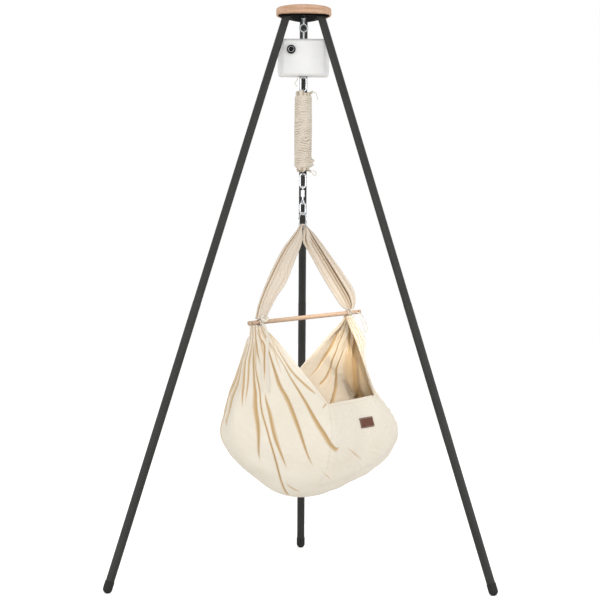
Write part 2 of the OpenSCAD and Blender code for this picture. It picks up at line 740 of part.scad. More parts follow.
// Carabiner in the plane across Y, open on the right; z = 0 at its lower wire
module carabiner(w, l) {
    r = w / 2 - wire_r;
    top = l - carabiner_wire_d - r;
    color("silver") difference() {
        union() {
            translate([0, 0, top]) rotate([90, 0, 0]) rotate_extrude(angle = 180)
                translate([r, 0]) circle(r = wire_r, $fn = 32);
            translate([0, 0, r]) rotate([-90, 0, 0]) rotate_extrude(angle = 180)
                translate([r, 0]) circle(r = wire_r, $fn = 32);
            translate([-r, 0, r]) cylinder(r = wire_r, h = top - r, $fn = 32);
            translate([r, 0, r]) cylinder(r = wire_r, h = gate_hinge(w) - r + 1.6, $fn = 32);
            translate([r, 0, gate_nose(w, l) + seat_gap]) cylinder(r = wire_r,
                h = top - gate_nose(w, l) - seat_gap, $fn = 32);
        }
        translate([r - 2 * wire_r, -gate_d / 4 - fit_gap, gate_hinge(w) - gate_d / 2 - 0.3])
            cube([4 * wire_r, gate_d / 2 + 2 * fit_gap, 2 * gate_d]);
        translate([r, 2 * wire_r, gate_hinge(w)]) rotate([90, 0, 0])
            cylinder(r = 0.8, h = 4 * wire_r, $fn = 24);
    }
}

// Gate of that carabiner, with its pin
module gate(w, l) {
    r = w / 2 - wire_r;
    color("gainsboro") translate([r, 0, 0]) {
        translate([0, wire_r, gate_hinge(w)]) rotate([90, 0, 0])
            cylinder(r = 0.8 - run_gap, h = 2 * wire_r, $fn = 24);
        translate([0, gate_d / 4, gate_hinge(w)]) rotate([90, 0, 0])
            cylinder(r = gate_d / 2 - 0.2, h = gate_d / 2, $fn = 24);
        translate([-gate_d / 2 + 0.4, -gate_d / 4, gate_hinge(w)])
            cube([gate_d - 0.8, gate_d / 2, 4]);
        translate([0, 0, gate_hinge(w) + 3]) cylinder(d = gate_d,
            h = gate_nose(w, l) - gate_hinge(w) - 3, $fn = 24);
    }
}

module upper_carabiner() at_axis(upper_low_z) carabiner(upper_carabiner_w, upper_carabiner_len);
module upper_carabiner_gate() at_axis(upper_low_z) gate(upper_carabiner_w, upper_carabiner_len);
module middle_carabiner() at_axis(middle_low_z)
    carabiner(middle_carabiner_w, middle_carabiner_len);
module middle_carabiner_gate() at_axis(middle_low_z)
    gate(middle_carabiner_w, middle_carabiner_len);
module lower_carabiner() in_hammock() translate([0, 0, lower_low_z])
    carabiner(lower_carabiner_w, lower_carabiner_len);
module lower_carabiner_gate() in_hammock() translate([0, 0, lower_low_z])
    gate(lower_carabiner_w, lower_carabiner_len);

module swivel_barrel() color("silver") at_axis() {
    translate([0, 0, swivel_top_z]) eye_ring(swivel_eye_r, swivel_wire_r);
    difference() {
        translate([0, 0, barrel_low_z]) cylinder(r = swivel_barrel_r, h = swivel_barrel_len);
        translate([0, 0, barrel_low_z + 2.5]) cylinder(r = swivel_barrel_r - 1.8, h = 13);
        translate([0, 0, barrel_low_z - 1]) cylinder(r = 2.5 + run_gap, h = 5);
    }
}

module swivel_eye() color("silver") in_hammock() {
    translate([0, 0, swivel_low_z]) eye_ring(swivel_eye_r, swivel_wire_r);
    shank_low = swivel_low_z + swivel_eye_r;
    translate([0, 0, shank_low]) cylinder(r = 2.5, h = barrel_low_z + 4 - shank_low);
    translate([0, 0, barrel_low_z + 2.5 + rest_gap]) cylinder(r = swivel_barrel_r - 2.1, h = 4);
}

module hammock_ring() color("silver") in_hammock() translate([0, 0, ring_z])
    eye_ring(ring_r, ring_wire_r);

// Spring and sleeve ---------------------------------------------------------------------------

coil_steps = 8;
hook_steps = 9;
// Middle line of the spring's wire: top hook, coils, bottom hook
spring_path = [
    for (i = [0:hook_steps]) let (a = -30 + 270 * i / hook_steps)
        [0, hook_r * cos(a), spring_hook_z + hook_r * sin(a)],
    [4, 1, spring_top_z + 9],
    [11, 0.5, spring_top_z + 5],
    for (i = [0:spring_turns * coil_steps])
        let (a = 360 * i / coil_steps, z = spring_top_z - spring_len * i / coil_steps / spring_turns)
        [spring_r * cos(a), -spring_r * sin(a), z],
    [11, -0.5, spring_low_z - 5],
    [4, -1, spring_low_z - 9.5],
    for (i = [hook_steps:-1:0]) let (a = 30 - 270 * i / hook_steps)
        [0, -hook_r * cos(a), low_hook_z + hook_r * sin(a)]
];
spring_gap = min([
    for (i = [0:len(spring_path) - 8]) min([
        for (j = [i + 7:len(spring_path) - 1]) norm(spring_path[i] - spring_path[j])
    ])
]) - spring_wire_d;
echo(spring_gap_mm = spring_gap);

module spring() color("silver") at_axis() tube(spring_path,
    [for (p = spring_path) spring_wire_r], [for (p = spring_path) spring_wire_r],
    [1, 0, 0], 6);

module sleeve_profile() {
    step = (sleeve_top_z - sleeve_low_z) / sleeve_folds;
    polygon([
        [sleeve_neck_r, sleeve_low_z - sleeve_end],
        [sleeve_neck_r + 9, sleeve_low_z - sleeve_end + 1],
        [sleeve_r - sleeve_fold - 4, sleeve_low_z - 2],
        for (i = [0:sleeve_folds - 1]) each [
            [sleeve_r - (i % 3 == 1 ? 1.5 : 0), sleeve_low_z + step * (i + 0.45)],
            [sleeve_r - sleeve_fold, sleeve_low_z + step * (i + 0.95)]
        ],
        [sleeve_r - sleeve_fold - 3, sleeve_top_z + 2],
        [sleeve_neck_r + 10, sleeve_top_z + sleeve_end - 2],
        [sleeve_neck_r, sleeve_top_z + sleeve_end],
        [sleeve_neck_r, sleeve_top_z],
        [sleeve_bore_r, sleeve_top_z],
        [sleeve_bore_r, sleeve_low_z],
        [sleeve_neck_r, sleeve_low_z]
    ]);
}

module spring_sleeve() color("#e6d9c6") at_axis() rotate_extrude() sleeve_profile();

module drawstring_ends() color("ivory") at_axis()
    cord(drawstring_route, string_r, 8, [0, 1, 0]);

module sleeve_loop() color("ivory") at_axis() cord(sleeve_loop_route, string_r, 14, [0, 1, 0]);

module cord_stub() color("white") at_axis() cord(stub_route, string_r, 10, [1, 0, 0]);

// Hammock -------------------------------------------------------------------------------------

// The bag is one cloth from gather to gather: s runs along it, from 0 at the left gather to 1 at
// the right, and t across it, from -1 at the front rim past 0 at the keel to 1 at the rear rim.
function from_bar(p) = [p.x, bar_h - p.y];

function half_way(s) = s < 0.5 ? 2 * s : 2 - 2 * s;

function gather_at(s) = from_bar(s < 0.5 ? keel[0] : keel[len(keel) - 1]);

function keel_at(s) = from_bar(s < 0.5 ? on_line(keel, 2 * s * keel_mid)
    : on_line(keel, keel_mid + (2 * s - 1) * (len(keel) - 1 - keel_mid)));

function rim_at(s, t) =
    let (
        end = gather_at(s),
        u = half_way(s),
        v = panel_corner_u,
        notch = from_bar(t < 0 ? front_notch : rear_notch),
        corner = from_bar(panel_corner)
    )
    t > 0 || s < 0.5 ? end + (notch - end) * u
        : u > v ? notch + (corner - notch) * (1 - u) / (1 - v) : corner + (end - corner) * (1 - u / v);

// The cloth without its folds
function bag_bare(s, t) =
    let (
        r = rim_at(s, t),
        k = keel_at(s),
        a = belly * abs(t),
        flat = k + (r - k) * (1 - cos(a)) / (1 - cos(belly)),
        o = min(1, bag_rows / 2 * half_way(s)),
        side = s < 0.5 ? -1 : 1,
        end = gather_at(s)
    )
    [
        flat.x * o + (end.x + side * gather_r * cos(150 * t)) * (1 - o),
        sign(t) * bag_half_w * pow(half_way(s), 0.6) * sin(a) * o
            + gather_ry * sin(150 * t) * (1 - o),
        flat.y
    ];

// Direction into the bag, square to the cloth
function bag_in(s, t) =
    let (e = 0.004, f = s > 0.5 ? -e : e, h = t > 0 ? -e : e, p = bag_bare(s, t))
    unit(cross((bag_bare(s + f, t) - p) / f, (bag_bare(s, t + h) - p) / h));

function fold_height(s, t) = t < -0.2 && s > 0.5 ? 0
    : bag_fold * bell(half_way(s) / 0.8) * cos(180 * bag_folds * (t + 1));

// Point of row i and column j, moved into the bag
function bag_at(i, j, inward) =
    let (s = i / bag_rows, t = 2 * j / bag_cols - 1)
    bag_bare(s, t) + bag_in(s, t) * (fold_height(s, t) + inward);

module on_bag(rows, cols, upper, lower) in_hammock() sheet(
    [for (i = [rows[0]:rows[1]]) [for (j = [cols[0]:cols[1]]) bag_at(i, j, upper)]],
    [for (i = [rows[0]:rows[1]]) [for (j = [cols[0]:cols[1]]) bag_at(i, j, lower)]]
);

module bag() color("#efe6d6") on_bag([0, bag_rows], [0, bag_cols], cloth_t, 0);

module front_panel() color("#f1e9da") on_bag(panel_rows, panel_cols, -seat_gap,
    -seat_gap - cloth_t);

// How much of its full thickness the mattress has at row i and column j
function crown(i, j) = 0.4 + 0.6 * sqrt(
    bell((i - mattress_rows[0]) / (mattress_rows[1] - mattress_rows[0]))
    * bell((j - mattress_cols[0]) / (mattress_cols[1] - mattress_cols[0])));

function mattress_top(i, j) =
    let (s = i / bag_rows, t = 2 * j / bag_cols - 1)
    bag_bare(s, t) + bag_in(s, t) * (cloth_t + mattress_t * crown(i, j));

module mattress() color("white") in_hammock() sheet(
    [for (i = [mattress_rows[0]:mattress_rows[1]]) [
        for (j = [mattress_cols[0]:mattress_cols[1]]) mattress_top(i, j)]],
    [for (i = [mattress_rows[0]:mattress_rows[1]]) [
        for (j = [mattress_cols[0]:mattress_cols[1]]) bag_at(i, j, cloth_t + seat_gap)]]
);

label_s = 0.65;
label_t = -0.776;
label_thick = 1.2;
label_turn = -12;
module label_patch() color("saddlebrown") in_hammock() {
    out = -bag_in(label_s, label_t);
    c = bag_bare(label_s, label_t);
    along = unit(bag_bare(label_s + 0.01, label_t) - bag_bare(label_s - 0.01, label_t));
    up = cross(out, along);
    lift = max([for (i = [14:17], j = [1:4]) (bag_at(i, j, -seat_gap - cloth_t) - c) * out]);
    o = c + out * (lift + seat_gap);
    multmatrix([
        [along.x, up.x, out.x, o.x], [along.y, up.y, out.y, o.y], [along.z, up.z, out.z, o.z],
        [0, 0, 0, 1]
    ]) rotate([0, 0, label_turn]) translate([-label_w / 2, -label_h / 2, 0])
        cube([label_w, label_h, label_thick]);
}

band_rings = 22;
band_sides = 16;
// Height of a band's point: routes run from the bar's middle up to the ring's lower wire
function band_z(h) = bar_h + h * (ring_low_z - bar_h) / bar_to_ring;

function tie_z(x) = bar_z(x) + tie_top + seat_gap;

module band(line, side) {
    last = line[len(line) - 1];
    route = [
        for (i = [0:len(line) - 2]) [line[i][0], band_z(line[i][1]), line[i][2], band_z(line[i][3])],
        [last[0], tie_z(last[0]), last[2], tie_z(last[2])]
    ];
    raw = smooth_line(route, band_rings);
    polyhedron([
        for (p = raw)
            let (
                mid = [(p[0] + p[2]) / 2, 0, (p[1] + p[3]) / 2],
                half = side * [(p[0] - p[2]) / 2, 0, (p[1] - p[3]) / 2]
            )
            for (k = [0:band_sides - 1])
                let (a = 360 * k / band_sides, pleat = k % 2 == 0 ? 1 : 0.72)
                mid + half * cos(a) + [0, band_half_t * pleat * sin(a), 0]
    ], tube_faces(band_rings + 1, band_sides));
}
module left_band() color("#eee5d4") in_hammock() band(left_band_line, 1);
module right_band() color("#eee5d4") in_hammock() band(right_band_line, -1);

module spreader_bar() color("#e3bd9a") difference() {
    bar_frame() translate([0, 0, -bar_len / 2]) cylinder(d = bar_d, h = bar_len);
    for (z = [-1, 1]) bar_frame() translate([0, bar_d, z * (bar_len / 2 - 10)]) rotate([90, 0, 0])
        cylinder(d = bar_hole_d, h = 2 * bar_d);
}

module bar_wrap(x) bar_frame() for (i = [0:tie_turns - 1])
    translate([0, 0, x + (2 * tie_wire_r + seat_gap) * (i - (tie_turns - 1) / 2)]) rotate_extrude()
        translate([bar_d / 2 + tie_wire_r + seat_gap, 0]) circle(r = tie_wire_r, $fn = 24);
module left_tie() color("ivory") bar_wrap(tie_at[0]);
module right_tie() color("ivory") bar_wrap(tie_at[1]);

module ribbon_tail() color("ivory") in_hammock() {
    path = smooth_line([for (p = ribbon_route) p + [0, 0, bar_h]], 16);
    tube(path, [for (p = path) ribbon_half_w], [for (p = path) 0.8], [1, 0, 0.2]);
}

module bow_loops() color("ivory") in_hammock()
    cord([for (p = bow_route) p + [0, 0, bar_h]], bow_r_wire, 20, [0, 1, 0]);

top_disc();
hub_plate();
plate_screws();
eyebolt();
eyebolt_nuts();
eyebolt_washers();
left_upper_leg();
right_upper_leg();
back_upper_leg();
left_lower_leg();
right_lower_leg();
back_lower_leg();
leg_couplers();
left_foot();
right_foot();
back_foot();
shackle_bow();
shackle_pin();
motor_front_shell();
motor_back_shell();
housing_screws();
hanger_frame();
gearmotor();
circuit_board();
speed_dial_base();
power_inlet();
control_knob();
winding_drum();
pull_strap();
output_eye();
upper_carabiner();
upper_carabiner_gate();
spring();
spring_sleeve();
middle_carabiner();
middle_carabiner_gate();
swivel_barrel();
swivel_eye();
lower_carabiner();
lower_carabiner_gate();
hammock_ring();
left_band();
right_band();
spreader_bar();
bag();
front_panel();
mattress();
label_patch();
left_tie();
right_tie();
ribbon_tail();
bow_loops();
drawstring_ends();
sleeve_loop();
cord_stub();
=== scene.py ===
import math

import bpy
import numpy as np
from mathutils import Matrix, Vector


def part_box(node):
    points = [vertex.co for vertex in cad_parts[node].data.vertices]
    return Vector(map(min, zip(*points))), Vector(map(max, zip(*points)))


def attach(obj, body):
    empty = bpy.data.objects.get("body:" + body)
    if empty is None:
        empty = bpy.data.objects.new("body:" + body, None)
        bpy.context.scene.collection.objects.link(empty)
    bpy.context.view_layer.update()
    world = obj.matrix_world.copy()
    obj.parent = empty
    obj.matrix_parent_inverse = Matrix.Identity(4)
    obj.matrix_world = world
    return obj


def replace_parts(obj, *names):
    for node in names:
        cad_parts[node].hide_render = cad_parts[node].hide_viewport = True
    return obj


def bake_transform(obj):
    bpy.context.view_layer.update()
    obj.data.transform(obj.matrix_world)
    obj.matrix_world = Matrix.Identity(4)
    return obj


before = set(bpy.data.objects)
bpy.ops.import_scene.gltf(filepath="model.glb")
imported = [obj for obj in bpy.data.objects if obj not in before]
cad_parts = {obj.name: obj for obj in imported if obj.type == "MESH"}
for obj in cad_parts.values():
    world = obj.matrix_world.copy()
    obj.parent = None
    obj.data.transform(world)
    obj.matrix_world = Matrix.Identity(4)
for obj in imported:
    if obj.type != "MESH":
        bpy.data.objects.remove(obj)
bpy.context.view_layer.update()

# ---------------------------------------------------------------------------------------------
# Camera. The cradle is seen from the front at the height of the spreader bar, from six metres,
# with a long lens, so the legs and the bar stay straight.
# ---------------------------------------------------------------------------------------------
axis_y = -0.17775  # the hanging line stands here, at x = 0
yaw, dip, roll = 0.0012, 0.0012, -0.0059
eye_away, eye_height, focal_px, picture_px = 6.0, 0.9473, 1767.5, 600

lens = bpy.data.cameras.new("camera")
lens.sensor_width = 36.0
lens.lens = lens.sensor_width * focal_px / picture_px
lens.clip_end = 60
camera = bpy.data.objects.new("camera", lens)
bpy.context.scene.collection.objects.link(camera)
level = Vector((math.cos(yaw), math.sin(yaw), 0))
ahead = Vector((-math.sin(yaw), math.cos(yaw), 0))
forward = ahead * math.cos(dip) - Vector((0, 0, math.sin(dip)))
upright = ahead * math.sin(dip) + Vector((0, 0, math.cos(dip)))
right = level * math.cos(roll) - upright * math.sin(roll)
up = level * math.sin(roll) + upright * math.cos(roll)
turn = Matrix((right, up, -forward)).transposed()
camera.matrix_world = Matrix.Translation((0, axis_y - eye_away, eye_height)) @ turn.to_4x4()
bpy.context.scene.camera = camera

# ---------------------------------------------------------------------------------------------
# Cords. Bleached cotton string, twisted from two plies, 2.6 mm thick and 3.2 mm in the bow: a
# stub under the motor, the strings of the sleeve, and what hangs from the spreader bar.
# ---------------------------------------------------------------------------------------------
hammock_turn = math.radians(32)  # how far the bar and the bag hang turned about the line


def linear(code):
    """Linear colour of an sRGB hex code."""
    parts = [int(code[i:i + 2], 16) / 255 for i in (1, 3, 5)]
    return [c / 12.92 if c <= 0.04045 else ((c + 0.055) / 1.055) ** 2.4 for c in parts] + [1]


def add(tree, kind, inputs=None, to=None, **settings):
    """Adds a shader node with its settings. An input is a number, a hex colour, a socket, or a
    node whose result is meant; its own result can be linked to a socket."""
    made = tree.nodes.new("ShaderNode" + kind)
    for key, value in settings.items():
        setattr(made, key, value)
    for key, value in (inputs or {}).items():
        if isinstance(value, bpy.types.Node):
            value = next(socket for socket in value.outputs if socket.enabled)
        if isinstance(value, bpy.types.NodeSocket):
            tree.links.new(value, made.inputs[key])
        else:
            made.inputs[key].default_value = linear(value) if isinstance(value, str) else value
    if to is not None:
        tree.links.new(next(socket for socket in made.outputs if socket.enabled), to)
    return made


def finish_for(name, **surface):
    """An empty material with its shader: returns the material, its tree and the shader."""
    made = bpy.data.materials.new(name)
    made.use_nodes = True
    tree = made.node_tree
    tree.nodes.clear()
    inputs = {key.replace("_", " "): value for key, value in surface.items()}
    shader = add(tree, "BsdfPrincipled", inputs)
    add(tree, "OutputMaterial", {"Surface": shader.outputs[0]})
    return made, tree, shader


def piece(name, points, faces, material, uv=None, smooth=True, notes=None):
    """A mesh object from points in metres, with cloth coordinates and other values a point."""
    mesh = bpy.data.meshes.new(name)
    mesh.from_pydata([tuple(p) for p in np.asarray(points, float)], [], [tuple(f) for f in faces])
    mesh.materials.append(material)
    mesh.polygons.foreach_set("use_smooth", [smooth] * len(mesh.polygons))
    corner = np.zeros(len(mesh.loops), int)
    mesh.loops.foreach_get("vertex_index", corner)
    if uv is not None:
        layer = mesh.uv_layers.new(name="cloth")
        layer.data.foreach_set("uv", np.asarray(uv, float)[corner].ravel())
    for key, values in (notes or {}).items():
        kept = mesh.attributes.new(key, "FLOAT", "POINT")
        kept.data.foreach_set("value", np.asarray(values, np.float32).ravel())
    mesh.update()
    made = bpy.data.objects.new(name, mesh)
    bpy.context.scene.collection.objects.link(made)
    return made


def about_axis(points):
    """Points in millimetres about the hanging line, in metres in the row frame."""
    return (np.asarray(points, float) + [0, axis_y * 1000, 0]) / 1000


def in_hammock(points):
    """Points in millimetres in the hammock's own directions, in metres in the row frame."""
    p = np.asarray(points, float)
    c, s = math.cos(hammock_turn), math.sin(hammock_turn)
    turned = np.stack([c * p[..., 0] - s * p[..., 1], s * p[..., 0] + c * p[..., 1], p[..., 2]], -1)
    return about_axis(turned)


def along(points, x):
    """Smooth line through the points; x counts in steps from point to point."""
    p = np.asarray(points, float)
    p = np.vstack([2 * p[0] - p[1], p, 2 * p[-1] - p[-2]])
    x = np.asarray(x, float)
    i = np.clip(np.floor(x).astype(int), 0, len(p) - 4)
    t = (x - i)[..., None]
    a, b, c, d = p[i], p[i + 1], p[i + 2], p[i + 3]
    return 0.5 * (2 * b + (c - a) * t + (2 * a - 5 * b + 4 * c - d) * t * t
                  + (3 * b - a - 3 * c + d) * t ** 3)


def tube(path, radius, sides, side=(1, 0, 0), flat=1.0, close=False):
    """Points, faces and cloth coordinates of a tube along the path; flat thins it across."""
    path = np.asarray(path, float)
    n = len(path)
    way = np.roll(path, -1, 0) - np.roll(path, 1, 0) if close else np.gradient(path, axis=0)
    way /= np.linalg.norm(way, axis=1)[:, None]
    first = np.array(side, float)
    across = np.zeros_like(path)
    for i in range(n):
        first = first - way[i] * (first @ way[i])
        first /= np.linalg.norm(first)
        across[i] = first
    over = np.cross(way, across)
    radius = np.broadcast_to(np.asarray(radius, float), (n,))[:, None, None]
    a = np.linspace(0, 2 * np.pi, sides, endpoint=False)
    ring = (across[:, None] * np.cos(a)[None, :, None]
            + over[:, None] * flat * np.sin(a)[None, :, None])
    points = (path[:, None] + radius * ring).reshape(-1, 3)
    rows = n if close else n - 1
    faces = []
    for i in range(rows):
        for j in range(sides):
            k, m = (i + 1) % n, (j + 1) % sides
            faces.append((i * sides + j, i * sides + m, k * sides + m, k * sides + j))
    if not close:
        faces.append(tuple(range(sides))[::-1])
        faces.append(tuple((n - 1) * sides + j for j in range(sides)))
    run = np.concatenate([[0], np.cumsum(np.linalg.norm(np.diff(path, axis=0), axis=1))])
    uv = np.stack([np.repeat(run, sides), np.tile(a / (2 * np.pi), n)], -1)
    return points, faces, uv


# Bleached cotton string: soft, matt, with slanting plies 2.5 mm apart along it and painted
# shade in the grooves between them
cotton_string, tree, shader = finish_for(
    "bleached_cotton_string", Roughness=0.9, Sheen_Weight=0.25, Sheen_Roughness=0.5)
run = add(tree, "SeparateXYZ", {0: add(tree, "UVMap", uv_map="cloth")})
slant = add(tree, "Math", {0: run.outputs[0], 1: 2 * math.pi / 0.0025}, operation="MULTIPLY")
round_it = add(tree, "Math", {0: run.outputs[1], 1: 4 * math.pi}, operation="MULTIPLY")
ply = add(tree, "Math", {0: add(tree, "Math", {0: slant, 1: round_it})}, operation="SINE")
relief_and_shade = add(tree, "MapRange", {0: ply, 1: -1.0, 2: 1.0})
add(tree, "Mix", {0: relief_and_shade, 6: "#d3cab9", 7: "#eee8dc"}, shader.inputs["Base Color"],
    data_type="RGBA")
add(tree, "Bump", {"Height": relief_and_shade, "Distance": 0.0005, "Strength": 0.8}, shader.inputs["Normal"])


def knot(name, centre, size, body):
    """A small overhand knot: the string's own trefoil, pulled tight."""
    t = np.linspace(0, 2 * np.pi, 40, endpoint=False)
    shape = np.stack([np.sin(t) + 2 * np.sin(2 * t), np.cos(t) - 2 * np.cos(2 * t),
                      -np.sin(3 * t)], -1) * size / 3
    p, f, uv = tube(np.asarray(centre) + shape, size * 0.42, 8, close=True)
    made = piece(name, p, f, cotton_string, uv)
    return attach(made, body)


def string(name, route, radius, body, node, place, until=None):
    """A string along a route in millimetres. It rides on one body, or, when until is given, is
    left where it is built; the body and the points in until are not used."""
    path = place(along(route, np.linspace(0, len(route) - 1, 8 * len(route))))
    p, f, uv = tube(path, radius / 1000, 10)
    made = piece(name, p, f, cotton_string, uv)
    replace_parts(made, node)
    if until is None:
        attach(made, body)
    else:
        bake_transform(made)
    return made


stub_route = [[-20, -18, 1697.7], [-20, -18, 1690], [-23, -18, 1682], [-28, -18, 1675],
              [-26, -18, 1667], [-22, -18, 1664]]
drawstring_route = [[23, -11, 1640.4], [31, -14, 1643.5], [40, -17, 1642], [45, -18, 1633],
                    [48, -18, 1618]]
sleeve_loop_route = [[22, -10, 1378.9], [29, -13, 1373], [36, -15, 1364], [42, -15, 1361],
                     [45, -14, 1368], [42, -12, 1375], [36, -10, 1378], [29, -8, 1377.4]]

string_r, knot_size = 1.3, 0.0012
stub_knot = knot("cord_stub_knot", about_axis([-21, -18, 1664]), knot_size, "motor")
string("motor_cord", stub_route, string_r, "motor", "cord_stub", about_axis)
end_knot = knot("drawstring_knot", about_axis([48, -18, 1618.6]), knot_size, "spring_unit")
string("drawstring", drawstring_route, string_r, "spring_unit",
       "drawstring_ends", about_axis)
string("sleeve_string", sleeve_loop_route, string_r, "spring_unit",
       "sleeve_loop", about_axis, until=("middle_link", (0, axis_y, 1.6303), (0, axis_y, 1.3896)))

# The string of the bow and the loose tape leave the bar, whose middle is bar_h over the floor
bar_h, bow_r = 881, 1.6
bow_route = [[212, -9.3, 18], [224, -24, 12], [233, -34, -8], [238, -42, -30], [237, -46, -46],
             [229, -46, -50], [224, -42, -34], [222, -34, -10], [214, -24, 8]]
string("bow", [[x, y, bar_h + z] for x, y, z in bow_route], bow_r, "cradle",
       "bow_loops", in_hammock)

tape_wide, tape_flat = 0.010, 0.16
ribbon_route = [[-169, -12.3, -18], [-170, -36, -28], [-169, -55, -55], [-176, -68, -84],
                [-183, -77, -121], [-187, -85, -161], [-192, -99, -203], [-196, -109, -242]]

# Bleached cotton tape, 10 mm wide: a flat matt twill with a rib every 1.6 mm, cut square, with
# painted shade in the hollows between the ribs
cotton_tape, tree, shader = finish_for(
    "bleached_cotton_tape", Roughness=0.92, Sheen_Weight=0.2, Sheen_Roughness=0.5)
run = add(tree, "SeparateXYZ", {0: add(tree, "UVMap", uv_map="cloth")})
ribs = add(tree, "Math", {0: run.outputs[0], 1: 2 * math.pi / 0.0016}, operation="MULTIPLY")
relief_and_shade = add(tree, "MapRange", {0: add(tree, "Math", {0: ribs}, operation="SINE"), 1: -1.0, 2: 1.0})
add(tree, "Mix", {0: relief_and_shade, 6: "#d9cfc0", 7: "#e8e0d2"}, shader.inputs["Base Color"],
    data_type="RGBA")
add(tree, "Bump", {"Height": relief_and_shade, "Distance": 0.0003, "Strength": 0.6}, shader.inputs["Normal"])
path = in_hammock(along([[x, y, bar_h + z] for x, y, z in ribbon_route], np.linspace(0, 7, 60)))
side_way = in_hammock([1, 0, 0.2]) - in_hammock([0, 0, 0])
p, f, uv = tube(path, tape_wide / 2, 12, side_way, tape_flat)
ribbon = piece("ribbon", p, f, cotton_tape, uv)
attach(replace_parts(ribbon, "ribbon_tail"), "cradle")

# ---------------------------------------------------------------------------------------------
# Head disc. Solid beech, turned, its edges rounded and oiled; the grain runs across from side
# to side and shows as fine dark pores and slow bands.
# ---------------------------------------------------------------------------------------------


def dress(material, *names):
    """Gives CAD nodes the material."""
    for name in names:
        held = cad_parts[name]
        if not held.material_slots:
            held.data.materials.append(material)
        for place in held.material_slots:
            place.material = material


def wood(name, pale, mid, dark, band_mm, fleck):
    """Wood with the grain along X: growth bands band_mm apart, fine pores, and short flecks
    that show as strongly as fleck says."""
    made, tree, shader = finish_for(name, Roughness=0.5, IOR=1.5, Coat_Weight=0.08,
                                    Coat_Roughness=0.35)
    place = add(tree, "TexCoord").outputs["Object"]
    wide = add(tree, "Mapping", {"Vector": place, "Scale": (5, 300 / band_mm, 1000 / band_mm)})
    rings = add(tree, "TexNoise", {"Vector": wide, "Scale": 1.0, "Detail": 3.0,
                                   "Roughness": 0.55, "Distortion": 0.3})
    fine = add(tree, "Mapping", {"Vector": place, "Scale": (25, 700, 700)})
    pores = add(tree, "TexNoise", {"Vector": fine, "Scale": 1.0, "Detail": 3.0})
    specks = add(tree, "Mapping", {"Vector": place, "Scale": (60, 420, 420)})
    short = add(tree, "TexVoronoi", {"Vector": specks, "Scale": 1.0})
    band_ = add(tree, "MapRange", {0: rings, 1: 0.35, 2: 0.68})
    base = add(tree, "Mix", {0: band_, 6: pale, 7: mid}, data_type="RGBA")
    pore_ = add(tree, "MapRange", {0: pores, 1: 0.52, 2: 0.74})
    streak = add(tree, "Mix", {0: pore_, 6: base, 7: dark}, data_type="RGBA")
    near = add(tree, "MapRange", {0: short, 1: 0.22, 2: 0.05, 4: fleck})
    add(tree, "Mix", {0: near, 6: streak, 7: dark}, shader.inputs["Base Color"],
        data_type="RGBA")
    add(tree, "MapRange", {0: pores, 3: 0.42, 4: 0.6}, shader.inputs["Roughness"])
    add(tree, "Bump", {"Height": pores, "Distance": 0.0002, "Strength": 0.5},
        shader.inputs["Normal"])
    return made


# Beech, oiled: a warm pinkish tan with fine darker bands in its edge and a low sheen
oiled_beech = wood("oiled_beech", "#d6b192", "#bd9070", "#8c6448", 8, 0.3)
dress(oiled_beech, "top_disc")

# ---------------------------------------------------------------------------------------------
# Hub plate. Steel plate with three welded spigots, powder coated black: an even matt skin with
# the slight orange peel of the coat. Three countersunk screws hold it in the disc.
# ---------------------------------------------------------------------------------------------


def coated(name, colour, other, rough, index, peel_mm, depth):
    """Powder coat: even, with a soft orange peel of peel_mm, depth metres deep."""
    made, tree, shader = finish_for(name, Roughness=rough, IOR=index)
    place = add(tree, "TexCoord").outputs["Object"]
    peel = add(tree, "TexNoise", {"Vector": place, "Scale": 1000 / peel_mm, "Detail": 2.0})
    patch = add(tree, "TexNoise", {"Vector": place, "Scale": 9.0, "Detail": 3.0})
    shift = add(tree, "MapRange", {0: patch, 1: 0.35, 2: 0.65})
    add(tree, "Mix", {0: shift, 6: colour, 7: other}, shader.inputs["Base Color"],
        data_type="RGBA")
    add(tree, "MapRange", {0: patch, 3: rough - 0.06, 4: rough + 0.08},
        shader.inputs["Roughness"])
    add(tree, "Bump", {"Height": peel, "Distance": depth}, shader.inputs["Normal"])
    return made


# Black powder coat: matt and deep, so the plate reads as a shadow under the disc
black_powder_coat = coated("black_powder_coat", "#070707", "#0a0a0a", 0.75, 1.1, 1.2, 0.00008)
dress(black_powder_coat, "hub_plate")


def metal(name, colour, other, rough, line_mm=None):
    """Bare or plated metal with faint wear; line_mm gives drawn lines that far apart."""
    made, tree, shader = finish_for(name, Metallic=1.0, Roughness=rough)
    place = add(tree, "TexCoord").outputs["Object"]
    wear = add(tree, "TexNoise", {"Vector": place, "Scale": 220.0, "Detail": 4.0})
    worn = add(tree, "MapRange", {0: wear, 1: 0.3, 2: 0.7})
    add(tree, "Mix", {0: worn, 6: colour, 7: other}, shader.inputs["Base Color"],
        data_type="RGBA")
    add(tree, "MapRange", {0: wear, 3: rough - 0.05, 4: rough + 0.12},
        shader.inputs["Roughness"])
    relief = wear
    if line_mm:
        drawn = add(tree, "Mapping", {"Vector": place, "Scale": (40, 40, 1000 / line_mm)})
        relief = add(tree, "TexNoise", {"Vector": drawn, "Scale": 1.0, "Detail": 2.0})
    add(tree, "Bump", {"Height": relief, "Distance": 0.00005, "Strength": 0.5},
        shader.inputs["Normal"])
    return made


# Bright zinc plate: cool grey with a soft mirror and fine wear. Black zinc: dark, soft glints
bright_zinc = metal("bright_zinc_plate", "#bfc2c2", "#9fa3a4", 0.3)
black_zinc = metal("black_zinc_plate", "#3a3b3d", "#2c2d2f", 0.38)
dress(black_zinc, "plate_screws")

# ---------------------------------------------------------------------------------------------
# Legs. Round steel tube in two sections a leg, coated satin anthracite; inside each joint sits
# a coupler of plain steel tube. The coat has a fine even grain.
# ---------------------------------------------------------------------------------------------

